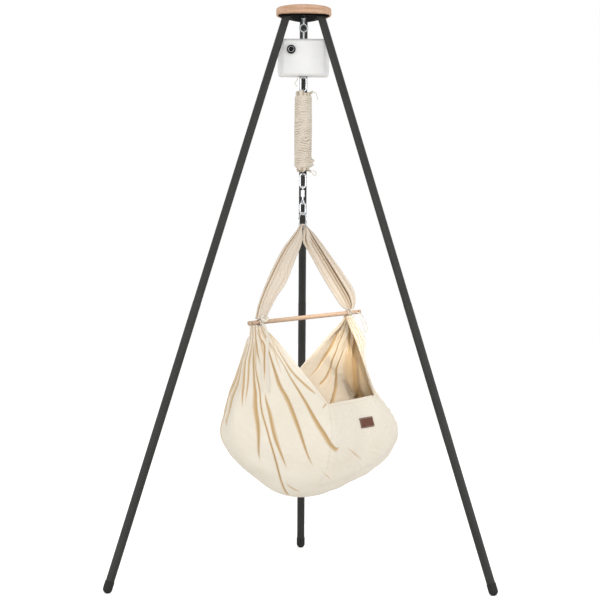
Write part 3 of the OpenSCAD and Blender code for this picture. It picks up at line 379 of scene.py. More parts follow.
# Anthracite powder coat: charcoal, even and satin. Drawn steel: grey with lines round the tube
anthracite_coat = coated("satin_anthracite_coat", "#2d2d2b", "#272726", 0.5, 1.38, 0.9, 0.00005)
drawn_steel = metal("drawn_steel_tube", "#a9abae", "#8f9296", 0.34, 0.6)
for where in ("left", "right", "back"):
    dress(anthracite_coat, where + "_upper_leg", where + "_lower_leg")
dress(drawn_steel, "leg_couplers")

# ---------------------------------------------------------------------------------------------
# Feet. Moulded rubber caps pushed over the leg ends, matt black with a dusty bloom, worn
# flat where they stand.
# ---------------------------------------------------------------------------------------------

# Natural rubber with carbon black: matt, with a faint grey bloom and a fine mould grit
moulded_rubber, tree, shader = finish_for("moulded_rubber", Roughness=0.82, IOR=1.52)
place = add(tree, "TexCoord").outputs["Object"]
bloom = add(tree, "TexNoise", {"Vector": place, "Scale": 60.0, "Detail": 5.0})
grit = add(tree, "TexNoise", {"Vector": place, "Scale": 1400.0, "Detail": 1.0})
dusty = add(tree, "MapRange", {0: bloom, 1: 0.3, 2: 0.75})
add(tree, "Mix", {0: dusty, 6: "#131313", 7: "#1f1f1e"}, shader.inputs["Base Color"],
    data_type="RGBA")
add(tree, "Bump", {"Height": grit, "Distance": 0.00012}, shader.inputs["Normal"])
dress(moulded_rubber, "left_foot", "right_foot", "back_foot")

# ---------------------------------------------------------------------------------------------
# Eyebolt and shackle. Forged steel, zinc plated and bright. The eyebolt hangs through the hub
# plate on a nut above and below, and the shackle links its eye to the motor's lug.
# ---------------------------------------------------------------------------------------------
dress(bright_zinc, "eyebolt", "eyebolt_nuts", "eyebolt_washers", "shackle_bow", "shackle_pin")

# ---------------------------------------------------------------------------------------------
# Motor housing. Two shells of white ABS, moulded with a fine spark texture and joined by four
# screws from the back. The speed knob is black ABS and turns on its dial in the front shell.
# ---------------------------------------------------------------------------------------------


def moulded(name, colour, other, rough, grain_mm, depth, index=1.54):
    """Moulded plastic with a spark-eroded grain of grain_mm, depth metres deep."""
    made, tree, shader = finish_for(name, Roughness=rough, IOR=index)
    place = add(tree, "TexCoord").outputs["Object"]
    grain = add(tree, "TexNoise", {"Vector": place, "Scale": 1000 / grain_mm, "Detail": 2.0})
    patch = add(tree, "TexNoise", {"Vector": place, "Scale": 14.0, "Detail": 3.0})
    shift = add(tree, "MapRange", {0: patch, 1: 0.35, 2: 0.65})
    add(tree, "Mix", {0: shift, 6: colour, 7: other}, shader.inputs["Base Color"],
        data_type="RGBA")
    add(tree, "Bump", {"Height": grain, "Distance": depth}, shader.inputs["Normal"])
    return made


# ABS, spark-textured in the mould: the white shells are soft satin, the black knob is duller
white_abs = moulded("white_moulded_abs", "#ececeb", "#e6e6e5", 0.48, 0.8, 0.00004)
black_abs = moulded("black_moulded_abs", "#080808", "#050505", 0.6, 0.6, 0.00004, 1.25)
dress(white_abs, "motor_front_shell", "motor_back_shell")
dress(black_zinc, "housing_screws")
dress(black_abs, "control_knob", "speed_dial_base", "power_inlet")

# A ring of spun aluminium is let into the knob's face; it shows as one pale line
knob_low, knob_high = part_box("control_knob")
ring_sunk, ring_in, ring_wire = 0.0004, 0.0052, 0.0008
knob_face, ring_at = knob_low[1] + ring_sunk, (knob_high[0] - knob_low[0]) / 2 - ring_in
a = np.linspace(0, 2 * np.pi, 48, endpoint=False)
knob_x, knob_z = (knob_low[0] + knob_high[0]) / 2, (knob_low[2] + knob_high[2]) / 2
p, f, uv = tube(np.stack([knob_x + ring_at * np.cos(a), 0 * a + knob_face,
                          knob_z + ring_at * np.sin(a)], -1), ring_wire, 8, close=True)
spun_aluminium = metal("spun_aluminium", "#c9cacb", "#b0b2b4", 0.3)
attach(piece("knob_ring", p, f, spun_aluminium, uv), "speed_knob")

# ---------------------------------------------------------------------------------------------
# Drive. A pressed steel frame carries the shackle's lug, a gearmotor and a drum that winds a
# webbing strap; a green circuit board stands beside them. All of it is inside the housing.
# ---------------------------------------------------------------------------------------------

# Glass-fibre board under green solder mask, glossy. Acetal: milky, waxy and hard
board_green = moulded("solder_mask_green", "#1f5a37", "#18492c", 0.35, 0.5, 0.00003)
natural_acetal = moulded("natural_acetal", "#e4e1d6", "#d9d5c8", 0.4, 0.7, 0.00003)
dress(bright_zinc, "hanger_frame", "output_eye")
dress(drawn_steel, "gearmotor")
dress(board_green, "circuit_board")
dress(natural_acetal, "winding_drum")

# Polyester webbing, plain woven: black with a slight silky sheen, a painted highlight on each
# thread and painted shade between the threads
woven_polyester, tree, shader = finish_for("black_polyester_webbing", Roughness=0.75,
                                           Sheen_Weight=0.15, Sheen_Roughness=0.4)
place = add(tree, "SeparateXYZ", {0: add(tree, "TexCoord").outputs["Object"]})
threads = []
for side, thread_mm in ((0, 1.6), (2, 1.2)):
    turns = add(tree, "Math", {0: place.outputs[side], 1: 2000 * math.pi / thread_mm},
                operation="MULTIPLY")
    threads.append(add(tree, "Math", {0: turns}, operation="SINE"))
weave = add(tree, "Math", {0: threads[0], 1: threads[1]}, operation="MULTIPLY")
relief_and_shade = add(tree, "MapRange", {0: weave, 1: -1.0, 2: 1.0})
add(tree, "Mix", {0: relief_and_shade, 6: "#1d1d1e", 7: "#34343a"}, shader.inputs["Base Color"],
    data_type="RGBA")
add(tree, "Bump", {"Height": relief_and_shade, "Distance": 0.0002}, shader.inputs["Normal"])
dress(woven_polyester, "pull_strap")

# ---------------------------------------------------------------------------------------------
# Carabiners, swivel and ring. Bent and welded round steel wire, polished bright; each gate is a
# shorter wire on a pin, pushed shut by its own spring.
# ---------------------------------------------------------------------------------------------

# Polished steel: bright and clean, mirrors the room in thin lines along each wire
polished_steel = metal("polished_steel_wire", "#dfe1e4", "#c6c9cd", 0.16)
dress(polished_steel, "upper_carabiner", "upper_carabiner_gate", "middle_carabiner",
      "middle_carabiner_gate", "swivel_barrel", "swivel_eye", "lower_carabiner",
      "lower_carabiner_gate", "hammock_ring")

# ---------------------------------------------------------------------------------------------
# Spring. Cold-wound spring steel wire of 4.5 mm in 26 turns, with a hook bent at each end; the
# oil on it darkens the metal.
# ---------------------------------------------------------------------------------------------
hook_r, spring_r, spring_turns, spring_len, wire_r = 8, 17.5, 26, 235, 2.25
hook_top, spring_top = 1645.45, 1627.45
spring_low, hook_low = 1392.45, 1371.95

a = np.radians(np.linspace(-30, 240, 28))
top_hook = np.stack([0 * a, hook_r * np.cos(a), hook_top + hook_r * np.sin(a)], -1)
a = np.linspace(0, 2 * np.pi * spring_turns, 24 * spring_turns + 1)
coils = np.stack([spring_r * np.cos(a), -spring_r * np.sin(a),
                  spring_top - spring_len * a / a[-1]], -1)
a = np.radians(np.linspace(-240, 30, 28))
low_hook = np.stack([0 * a, -hook_r * np.cos(a), hook_low + hook_r * np.sin(a)], -1)
lead_in = along([top_hook[-1], [4, 1, spring_top + 9], [11, 0.5, spring_top + 5], coils[0]],
                np.linspace(0, 3, 16))[1:-1]
lead_out = along([coils[-1], [11, -0.5, spring_low - 5], [4, -1, spring_low - 9.5], low_hook[0]],
                 np.linspace(0, 3, 16))[1:-1]
path = about_axis(np.vstack([top_hook, lead_in, coils, lead_out, low_hook]))
p, f, uv = tube(path, wire_r / 1000, 10)
spring_steel = metal("oiled_spring_steel", "#8f9194", "#6f7175", 0.3)
spring = piece("coil_spring", p, f, spring_steel, uv)
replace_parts(spring, "spring")
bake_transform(spring)

# ---------------------------------------------------------------------------------------------
# Spring sleeve. A tube of unbleached cotton, a third longer than its place on the spring, so it
# lies in small ruffles; a string gathers it at each end.
# ---------------------------------------------------------------------------------------------


def skin(outer, inner, wrap=False):
    """Points and faces of cloth with two sides, closed round its edges."""
    rows, cols = outer.shape[:2]
    count = rows * cols
    points = np.concatenate([outer.reshape(-1, 3), inner.reshape(-1, 3)])
    i, j = np.meshgrid(np.arange(rows - 1), np.arange(cols if wrap else cols - 1), indexing="ij")
    k = (j + 1) % cols
    quads = np.stack([i * cols + j, i * cols + k, (i + 1) * cols + k, (i + 1) * cols + j], -1)
    quads = quads.reshape(-1, 4)
    faces = [quads, quads[:, ::-1] + count]
    j = np.arange(cols if wrap else cols - 1)
    p, q = j, (j + 1) % cols
    faces.append(np.stack([q, p, p + count, q + count], -1))
    p, q = p + (rows - 1) * cols, q + (rows - 1) * cols
    faces.append(np.stack([p, q, q + count, p + count], -1))
    if not wrap:
        p = np.arange(rows - 1) * cols
        q = p + cols
        faces.append(np.stack([p, q, q + count, p + count], -1))
        p, q = p + cols - 1, q + cols - 1
        faces.append(np.stack([q, p, p + count, q + count], -1))
    return points, np.concatenate(faces)


def sewn(name, outer, inner, uv, material, folds=None, wrap=False):
    """A cloth piece from its two sides; folds holds the fold values, the painted shade, of each
    side.
    """
    points, faces = skin(outer, inner, wrap)
    notes = {"fold": np.concatenate([side.ravel() for side in folds])} if folds else None
    return piece(name, points, faces, material, np.tile(uv.reshape(-1, 2), (2, 1)),
                 notes=notes)


def cotton(name, pale, other, fold_shade_colour, deep_shade_colour, thread_mm):
    """Plain woven cotton. Its folds take painted shade in warmer colours, from the points' own fold
    value, and threads of uneven thickness cross at thread_mm, which is drawn coarse enough to show."""
    made, tree, shader = finish_for(name, Roughness=0.92, Sheen_Weight=0.15,
                                    Sheen_Roughness=0.55)
    cloth = add(tree, "UVMap", uv_map="cloth")
    slubs = []
    for stretch in ((30, 900, 1), (900, 30, 1)):
        run = add(tree, "Mapping", {"Vector": cloth, "Scale": stretch})
        slubs.append(add(tree, "TexNoise", {"Vector": run, "Scale": 1.0, "Detail": 2.0}))
    parts = add(tree, "SeparateXYZ", {0: cloth})
    waves = []
    for side in (0, 1):
        turns = add(tree, "Math", {0: parts.outputs[side], 1: 2000 * math.pi / thread_mm},
                    operation="MULTIPLY")
        waves.append(add(tree, "Math", {0: turns}, operation="SINE"))
    over = add(tree, "Math", {0: waves[0], 1: waves[1]}, operation="MULTIPLY")
    threads = add(tree, "Math", {0: slubs[0], 1: slubs[1]})
    weave = add(tree, "Math", {0: add(tree, "MapRange", {0: over, 1: -1.0, 2: 1.0}), 1: threads})
    cloudy = add(tree, "TexNoise", {"Vector": add(tree, "TexCoord").outputs["Object"],
                                    "Scale": 7.0, "Detail": 4.0})
    base = add(tree, "Mix", {0: add(tree, "MapRange", {0: cloudy, 1: 0.3, 2: 0.7}),
                             6: pale, 7: other}, data_type="RGBA")
    fold = add(tree, "Attribute", attribute_name="fold").outputs["Fac"]
    # Painted shade from the fold value: the fold colour over the folds, the deep colour in the
    # deepest
    fold_shaded = add(tree, "Mix", {0: add(tree, "MapRange", {0: fold, 1: 0.0, 2: 0.6}),
                              6: base, 7: fold_shade_colour}, data_type="RGBA")
    deep = add(tree, "Mix", {0: add(tree, "MapRange", {0: fold, 1: 0.6, 2: 1.0}),
                             6: fold_shaded, 7: deep_shade_colour}, data_type="RGBA")
    shade = add(tree, "MapRange", {0: threads, 1: 0.7, 2: 1.3, 3: 0.95, 4: 1.02})
    add(tree, "Mix", {0: 1.0, 6: deep, 7: shade}, shader.inputs["Base Color"],
        data_type="RGBA", blend_type="MULTIPLY")
    add(tree, "Bump", {"Height": weave, "Distance": 0.0003, "Strength": 0.2},
        shader.inputs["Normal"])
    return made


def bell(x):
    """Rises from 0 at 0 to 1 half way, and falls to 0 at 1."""
    return np.sin(np.pi * np.clip(x, 0, 1))


sleeve_low, sleeve_top, sleeve_pitch = 1389.6, 1630.3, 8.2
sleeve_r, middle_r, low_neck, top_neck, coil_room, muslin_t = 30.0, 29, 21.9, 26.9, 22.6, 0.9
steps_round, steps_a_fold = 120, 10
folds = round((sleeve_top - sleeve_low) / sleeve_pitch)
round_ = np.linspace(0, 2 * np.pi, steps_round, endpoint=False)[None, :]
rise = np.linspace(0, 1, folds * steps_a_fold + 1)[:, None]
level_mm = sleeve_low - 1 + (sleeve_top - sleeve_low + 2) * rise
wander = (2.2 * np.sin(round_ + level_mm / 31) + 1.7 * np.sin(2 * round_ - level_mm / 17 + 1)
          + 1.2 * np.sin(3 * round_ + level_mm / 12 + 2) + 0.9 * np.sin(5 * round_ + level_mm / 9)
          + 0.6 * np.sin(8 * round_ - level_mm / 6 + 0.5))
puff = np.abs(np.sin(np.pi * folds * rise + wander / 2)) ** 0.6
lively = 0.5 + 0.5 * np.sin(2 * round_ + level_mm / 15) * np.sin(3 * round_ - level_mm / 8 + 2)
lively = np.clip(lively + 0.45 * np.sin(round_ + 2.2) * np.sin(level_mm / 37), 0, 1)
size = 0.9 + 2.3 * lively
lobe = np.clip(np.cos(round_ + 0.3), 0, 1) ** 3
side_bulge = lobe * (10.5 * np.exp(-((level_mm - 1413) / 7) ** 2)
                     + 9.5 * np.exp(-((level_mm - 1397) / 6) ** 2))
radius = sleeve_r - size * (1 - puff) + side_bulge + 0.5 * np.sin(2 * round_ + level_mm / 26)
neck = np.clip(np.minimum(rise * 24, (1 - rise) * 24), 0, 1)
neck = np.sin(neck * np.pi / 2) ** 0.7
at_neck = np.where(rise > 0.5, top_neck, low_neck)
radius = np.maximum(radius * neck + at_neck * (1 - neck), coil_room)
body = np.stack([radius * np.cos(round_), radius * np.sin(round_), level_mm + 0 * round_], -1)
# Painted shade in the bottom of the ruffles, fading out at the necks
ruffle_shade = np.clip(1.1 - puff * 1.3, 0, 1) * neck ** 2 * (0.1 + 0.9 * lively)


def frill(start, end, sign, phase_at, lean, wide):
    """The short ruffle beyond the drawn neck of the sleeve, and the painted shade in its pleats."""
    q = np.linspace(0, 1, 13)[:, None]
    pleat = np.cos(9 * round_ + 1.9 * np.sin(2 * round_ + phase_at) + 1.2 * q)
    r = wide - 2.5 * np.sin(q * np.pi) ** 0.8 + 1.5 * q ** 2 + (0.4 + 2.3 * q) * pleat
    ragged = 3.6 * np.sin(3 * round_ + phase_at) + 2.2 * np.sin(7 * round_ + phase_at)
    z = start + (end - start) * q + sign * q * ragged
    made = np.stack([r * np.cos(round_) + lean * q ** 2, r * np.sin(round_), z], -1)
    return made, np.clip(0.25 - 0.45 * pleat, 0, 1) * np.ones_like(z)


low_frill, low_frill_shade = frill(sleeve_low - 1.2, sleeve_low - 11, -1, 0.6, 3, low_neck)
top_frill, top_frill_shade = frill(sleeve_top + 1.2, sleeve_top + 15, 1, 2.1, 4, top_neck)
outer = np.concatenate([low_frill[::-1], body, top_frill])
fold_shade = np.concatenate([low_frill_shade[::-1], ruffle_shade, top_frill_shade])
across = np.stack([np.cos(round_), np.sin(round_), 0 * round_], -1)
inner = outer - across * muslin_t
run = np.concatenate([[0], np.cumsum(np.linalg.norm(np.diff(outer[:, 0], axis=0), axis=1))])
uv = np.stack([np.repeat(run[:, None], steps_round, 1),
               np.repeat(round_ * middle_r, len(outer), 0)], -1) / 1000

# Unbleached muslin: greyish cream, thin and matt, with brown painted shade in the bottom
# of its ruffles
unbleached = cotton("unbleached_sleeve_cotton", "#e4dacb", "#dbd0c0", "#beae98", "#94836b", 1.2)
sleeve = sewn("spring_sleeve_cloth", about_axis(outer), about_axis(inner), uv, unbleached,
              (fold_shade, fold_shade), wrap=True)
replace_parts(sleeve, "spring_sleeve")
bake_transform(sleeve)

# ---------------------------------------------------------------------------------------------
# Carrying bands. Each is the same cotton as the bag, folded lengthwise in several layers; it
# hangs over the ring and is tied to the spreader bar, where its pleats run together.
# ---------------------------------------------------------------------------------------------
bar_mid, bar_tilt = 13, math.radians(5.1)
tie_height, band_len, band_half_t, band_least_t = 12.13, 0.42, 8.0, 1.6


def bar_z(x):
    """Height of the tilted bar's middle line at x."""
    return bar_h + (x - bar_mid) * math.tan(bar_tilt)


# Points of each band's outer and inner edge, from the ring down to the bar: x and height over
# the bar of the outer edge, then of the inner one
left_band_line = [
    [0, 318.5, 0, 309.2], [-12, 311, -4.6, 305], [-22, 297, -2, 286], [-35, 283, -1.5, 263],
    [-54, 261, -9, 237], [-73, 239, -22, 209], [-102, 194, -42, 164], [-130, 142, -66, 114],
    [-153, 93, -96, 76], [-173, 41, -123, 33], [-184, 0, -143, 0]
]
right_band_line = [
    [0, 318.5, 0, 309.2], [14, 312, 4.6, 305], [30, 299, 2, 285], [50, 283, 3, 255],
    [81, 250, 31, 214], [134, 190, 75, 148], [178, 138, 116, 91], [204, 105, 144, 55],
    [215, 80, 160, 38], [217, 52, 172, 30], [210, 0, 180, 0]
]

# The band's cotton is the bag's canvas washed soft: pinkish cream, with brown painted shade
# along its fold lines
band_cotton = cotton("cream_band_cotton", "#dacebf", "#d4c7b7", "#b8a083", "#5e4630", 1.2)


def band(name, line, node, pleats):
    """A folded cloth band, with painted shade in its pleats. Each pleat is its place across the
    band at the ring and at the bar, from -1 at the inner edge to 1 at the outer, its depth in mm,
    its width across, how dark the painted shade along its edge is, and where along the band it
    starts and ends."""
    route = [[a, bar_h + b, c, bar_h + d] for a, b, c, d in line]
    for k, x in ((1, line[-1][0]), (3, line[-1][2])):
        route[-1][k] = bar_z(x) + tie_height
    rows, cols = 190, 120
    edges = along(route, np.linspace(0, len(route) - 1, rows))
    outer_edge, inner_edge = edges[:, None, [0, 1]], edges[:, None, [2, 3]]
    down = np.linspace(0, 1, rows)[:, None]
    w = np.sin(np.linspace(-1, 1, cols) * np.pi / 2)[None, :]
    mid, half = (outer_edge + inner_edge) / 2, (outer_edge - inner_edge) / 2
    flat_place = mid + half * w[..., None]
    crown = np.clip(1 - w ** 2, 0, 1) ** 0.35
    press, fold_shade = 0 * w * down, 0 * w * down
    for at_ring, at_bar, depth, width, dark, start, stop in pleats:
        lie = at_ring + (at_bar - at_ring) * down + 0.02 * np.sin(9 * down + 7 * at_bar)
        off = w - lie
        hold = np.clip((down - start) / 0.06, 0, 1) * np.clip((stop - down) / 0.12, 0, 1)
        inside = 0.5 * (1 + np.tanh(off / 0.03))
        x = np.abs(off) / width
        press = press + hold * depth * (inside * np.clip(1 - x, 0, 1) ** 1.3
                                        - 0.3 * (1 - inside) * np.exp(-2 * x))
        # Painted shade over each pleat's strip, and a darker painted line along its edge
        fold_shade = np.maximum(fold_shade, hold * (depth / 12 * inside * np.clip((1 - x) / 0.7, 0, 1)
                                        + dark * np.exp(-(off / (0.04 + 0.05 * dark)) ** 2)))
    ripple = 0.3 * np.sin(17 * w + 5 * down) + 0.3 * np.sin(9 * w - 4 * down + 1)
    front = -band_half_t * crown + np.clip(press, -2, 9) * crown - ripple * crown
    hollows = 2.2 * (1 - np.cos(6 * np.pi * (w + 0.04 * np.sin(6 * down))))
    back = band_half_t * crown - hollows * crown
    front = np.minimum(front, back - band_least_t * crown)
    front, back = [in_hammock(np.stack([flat_place[..., 0], y + 0 * w, flat_place[..., 1]], -1))
                   for y in (front, back)]
    run = np.concatenate([[0], np.cumsum(np.hypot(*np.diff(mid[:, 0], axis=0).T))])
    uv = np.stack([np.repeat(run[:, None], cols, 1), w * np.linalg.norm(half, axis=2)], -1) / 1000
    fold_shade = np.clip(fold_shade, 0, 1)
    made = sewn(name, front, back, uv, band_cotton, (fold_shade, fold_shade * 0.3))
    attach(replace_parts(made, node), "cradle")


band("left_carrying_band", left_band_line, "left_band",
     [(0.72, 0.84, 3.5, 0.16, 0.6, 0.02, 1.1), (0.4, 0.52, 2.0, 0.2, 0.25, 0.05, 1.0),
      (-0.4, -0.62, 1.6, 0.2, 0.12, 0.2, 1.1), (0.0, -0.2, 0.8, 0.3, 0.0, 0.3, 1.0)])
band("right_carrying_band", right_band_line, "right_band",
     [(0.55, -0.05, 5.5, 0.2, 1.1, 0.08, 1.1), (-0.05, -2.2, 4.5, 0.25, 1.1, 0.04, 0.4),
      (0.2, -0.3, 5.0, 0.22, 0.7, 0.25, 1.1), (-0.1, -0.6, 4.0, 0.22, 0.45, 0.3, 1.1),
      (0.8, 0.5, 3.0, 0.2, 0.2, 0.1, 1.1), (-0.78, -0.8, 2.0, 0.14, 0.2, 0.3, 1.1)])

# ---------------------------------------------------------------------------------------------
# Spreader bar and ties. A turned ash rod, sanded and left pale, with a hole across each end;
# cotton tape is wound round it three times at each side and knotted in front.
# ---------------------------------------------------------------------------------------------

# Ash, sanded and left bare: pale pinkish straw with fine pores along it
sanded_ash = wood("sanded_ash", "#c8ad95", "#ba9b80", "#96775b", 1.6, 0.2)
dress(sanded_ash, "spreader_bar")
bar_way = in_hammock([math.cos(bar_tilt), 0, math.sin(bar_tilt)]) - in_hammock([0, 0, 0])
wind_r, wind_pitch, wound_r, wound_flat = 9.75, 5.6, 0.0036, 0.28


def tie(name, x, node, loops):
    """Three turns of tape on the bar at x along it, and the loops of its bow over the knot."""
    a = np.linspace(-0.5 * np.pi, 5.5 * np.pi, 150)
    off = wind_pitch * (a / (2 * np.pi) - 1.25)
    wind = np.stack([x + off, wind_r * np.cos(a), wind_r * np.sin(a)], -1)
    route = [wind]
    if loops:
        route.append(along([wind[-1]] + [np.array(q) + [x, 0, 0] for q in loops],
                           np.linspace(0, len(loops), 10 * len(loops)))[1:])
    local = np.vstack(route)
    x_, y_, z_ = local[:, 0], local[:, 1], local[:, 2]
    c, s = math.cos(bar_tilt), math.sin(bar_tilt)
    placed = np.stack([bar_mid + x_ * c - z_ * s, y_, bar_h + x_ * s + z_ * c], -1)
    p, f, uv = tube(in_hammock(placed), wound_r, 12, bar_way, wound_flat)
    made = piece(name, p, f, cotton_tape, uv)
    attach(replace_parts(made, node), "cradle")


tie("left_tape", -178, "left_tie",
    [(5, -11, 2), (9, -12, 9), (8, -12.5, 17), (2, -12.5, 20), (-2, -12, 14), (2, -12.5, 7),
     (8, -13.5, 6), (15, -13.5, 12), (21, -13.5, 15), (22, -13.5, 9), (15, -13, 4), (6, -12, 2)])
tie("right_tape", 177, "right_tie", [(8, -11, 2), (14, -12, -6), (17, -12.5, -16)])

# ---------------------------------------------------------------------------------------------
# Bag. One length of cream cotton canvas, gathered at both ends under the bar and hanging
# between them; folds run from the gathers, and a doubled hem follows the rim.
# ---------------------------------------------------------------------------------------------
left_r, right_r, gather_ry, gather_turn, cloth_t = 26, 19, 15, 150, 2.4
half_wide, opens_by = 180, 0.13  # half the bag's width, and where along it a gather is open
# The keel: the bag's lowest line, seen from the front, from the left gather to the right one
keel = np.array([(-180, 852.6), (-225, 760), (-252, 670), (-279, 590), (-299, 490), (-252, 405),
                 (-174, 343), (-94, 291), (0, 270), (96, 284), (196, 316), (302, 367), (376, 458),
                 (332, 545), (252, 628), (236, 722), (250, 812), (189, 885.6)], float)
keel_low, keel_right = 8, 9  # steps from the left gather to the lowest point, and from there on
front_notch, rear_notch = np.array([4.0, 595.0]), np.array([0.0, 606.0])
panel_corner, corner_u = np.array([240.0, 614.0]), 0.4167
belly = math.radians(118)

# Folds that the cloth has taken, listed one by one. Each is a strip with one crisp edge: a few
# points (place along the bag, place across it, width of the strip in mm), then the side of the
# edge it lies on, 1 towards the rear rim, and how dark the edge is.
# Each strip takes painted shade through the fold value, and its crisp edge a darker painted line
front_creases = [
    ([(0.04, -0.04, 6), (0.14, -0.05, 20), (0.22, -0.02, 16)], 1, 0.3),
    ([(0.04, -0.16, 3), (0.14, -0.25, 10), (0.2, -0.28, 2)], 1, 0.3),
    ([(0.04, -0.26, 2), (0.14, -0.33, 7), (0.2, -0.33, 1)], 1, 0.3),
    ([(0.05, -0.38, 3), (0.14, -0.45, 8), (0.22, -0.5, 17), (0.28, -0.46, 15),
      (0.34, -0.26, 1)], 1, 0.4),
    ([(0.04, -0.37, 2), (0.16, -0.51, 4), (0.25, -0.54, 5), (0.34, -0.43, 6),
      (0.45, -0.12, 8)], 1, 1),
    ([(0.22, -0.6, 2), (0.27, -0.58, 13), (0.33, -0.49, 14), (0.4, -0.37, 1)], -1, 0.5),
    ([(0.08, -0.76, 2), (0.18, -0.76, 9), (0.29, -0.77, 16), (0.38, -0.67, 13),
      (0.46, -0.5, 1)], 1, 0.6),
    ([(0.08, -0.85, 2), (0.22, -0.88, 4), (0.35, -0.86, 10), (0.47, -0.77, 18),
      (0.52, -0.67, 16)], 1, 0.5),
    ([(0.06, -0.92, 2), (0.14, -0.83, 3), (0.21, -0.81, 1)], 1, 0.6),
    ([(0.06, -0.92, 2), (0.2, -0.92, 6), (0.34, -0.95, 10), (0.4, -0.96, 3)], 1, 0.4),
    ([(0.02, -0.42, 2), (0.06, -0.5, 6), (0.12, -0.56, 1)], 1, 0.7),
    ([(0.01, -0.47, 1), (0.06, -0.7, 5), (0.12, -0.64, 6), (0.18, -0.6, 1)], 1, 0.8),
    ([(0.01, -0.65, 1), (0.04, -0.76, 3), (0.08, -0.77, 1)], 1, 0.5),
    ([(0.455, -0.92, 2), (0.48, -0.975, 3)], 1, 2),
    ([(0.49, -0.48, 1), (0.51, -0.44, 3), (0.52, -0.4, 1)], 1, 0.4),
    ([(0.56, -0.65, 1), (0.585, -0.58, 4), (0.61, -0.47, 1)], 1, 0.2),
    ([(0.42, -0.25, 1), (0.445, -0.22, 6), (0.47, -0.21, 1)], -1, 0.3),
]
rear_creases = [
    ([(0.94, 0.84, 5), (0.87, 0.79, 14), (0.78, 0.86, 12), (0.69, 0.9, 2)], 1, 0.3),
    ([(0.96, 0.79, 2), (0.92, 0.72, 4), (0.86, 0.7, 6), (0.78, 0.77, 8), (0.71, 0.81, 11)],
     -1, 0.8),
    ([(0.9, 0.53, 2), (0.85, 0.59, 6), (0.79, 0.68, 10), (0.73, 0.7, 14), (0.69, 0.67, 15)],
     -1, 0.6),
]
# The same at the head end, where they press the cloth and put their painted shade only
# on the inside
head_creases = [
    ([(0.98, 0.54, 8), (0.95, 0.55, 9), (0.92, 0.46, 11), (0.9, 0.38, 2)], 1, 0.8),
    ([(0.97, 0.49, 6), (0.92, 0.35, 16), (0.87, 0.23, 40), (0.82, 0.3, 60), (0.77, 0.47, 70)],
     -1, 0.5),
    ([(0.97, 0.37, 6), (0.94, 0.25, 10), (0.92, 0.05, 14), (0.89, -0.2, 26),
      (0.85, -0.4, 40), (0.82, -0.37, 50)], 1, 0.7),
]
rng = np.random.default_rng(7)
for wall in (0.03, 0.97):
    for k in range(9):
        t0 = 0.08 + 0.1 * k + rng.uniform(-0.02, 0.02)
        far = rng.uniform(0.16, 0.36)
        lean = rng.uniform(-0.06, 0.1)
        wide, dark = rng.uniform(6, 14), rng.uniform(0.1, 0.6)
        if wall > 0.5:
            wide, dark = 0.25 * wide, 0.5 * dark
        rear_creases.append(([(wall + (far * q if wall < 0.5 else -far * q), t0 + lean * q,
                               wide * bell_) for q, bell_ in ((0, 0.4), (0.35, 1), (0.7, 0.8),
                                                              (1, 0.05))], 1, dark))


def half_way(s):
    """0 at both gathers and 1 at the middle of the bag."""
    return np.where(s < 0.5, 2 * s, 2 - 2 * s)


def bag_cloth(s, t):
    """The bag's cloth without its folds: s along it from gather to gather, t across it from
    the front rim at -1 past the keel at 0 to the rear rim at 1."""
    s, t = np.broadcast_arrays(np.asarray(s, float), np.asarray(t, float))
    u = half_way(s)[..., None]
    left = (s < 0.5)[..., None]
    k = along(keel, np.where(s < 0.5, 2 * s * keel_low, keel_low + (2 * s - 1) * keel_right))
    end = np.where(left, keel[0], keel[-1])
    notch = np.where((t < 0)[..., None], front_notch, rear_notch)
    # The rims leave the gathers at one side of them, by rim_side
    rim_side = np.where(s < 0.5, 22, np.where(t < 0, -14, 0))
    end = end + np.stack([rim_side, 0 * rim_side], -1)
    plain = end + (notch - end) * u
    over = np.where(u > corner_u,
                    notch + (panel_corner - notch) * (1 - u) / (1 - corner_u),
                    panel_corner + (end - panel_corner) * (1 - u / corner_u))
    rim = np.where(left | (t > 0)[..., None], plain, over)
    a = belly * np.abs(t)
    flat_ = k + (rim - k) * ((1 - np.cos(a)) / (1 - np.cos(belly)))[..., None]
    open_ = np.clip(u[..., 0] / opens_by, 0, 1)
    open_ = open_ * (2 - open_)
    gather = np.where(s < 0.5, -left_r, right_r)
    centre = k[..., 0] + ((rim - k)[..., 0] - rim_side) * np.abs(t)
    bend = np.radians(gather_turn * t)
    x = flat_[..., 0] * open_ + (centre + gather * np.cos(bend)) * (1 - open_)
    y = (np.sign(t) * half_wide * u[..., 0] ** 0.72 * np.sin(a) * open_
         + gather_ry * np.sin(bend) * (1 - open_))
    return np.stack([x, y, flat_[..., 1]], -1)


def bag_in(s, t):
    """Direction into the bag, square to the cloth."""
    s, t = np.broadcast_arrays(np.asarray(s, float), np.asarray(t, float))
    f, h = np.where(s > 0.5, -0.004, 0.004), np.where(t > 0, -0.004, 0.004)
    p = bag_cloth(s, t)
    n = np.cross((bag_cloth(s + f, t) - p) / f[..., None],
                 (bag_cloth(s, t + h) - p) / h[..., None])
    return n / np.maximum(np.linalg.norm(n, axis=-1), 1e-9)[..., None]


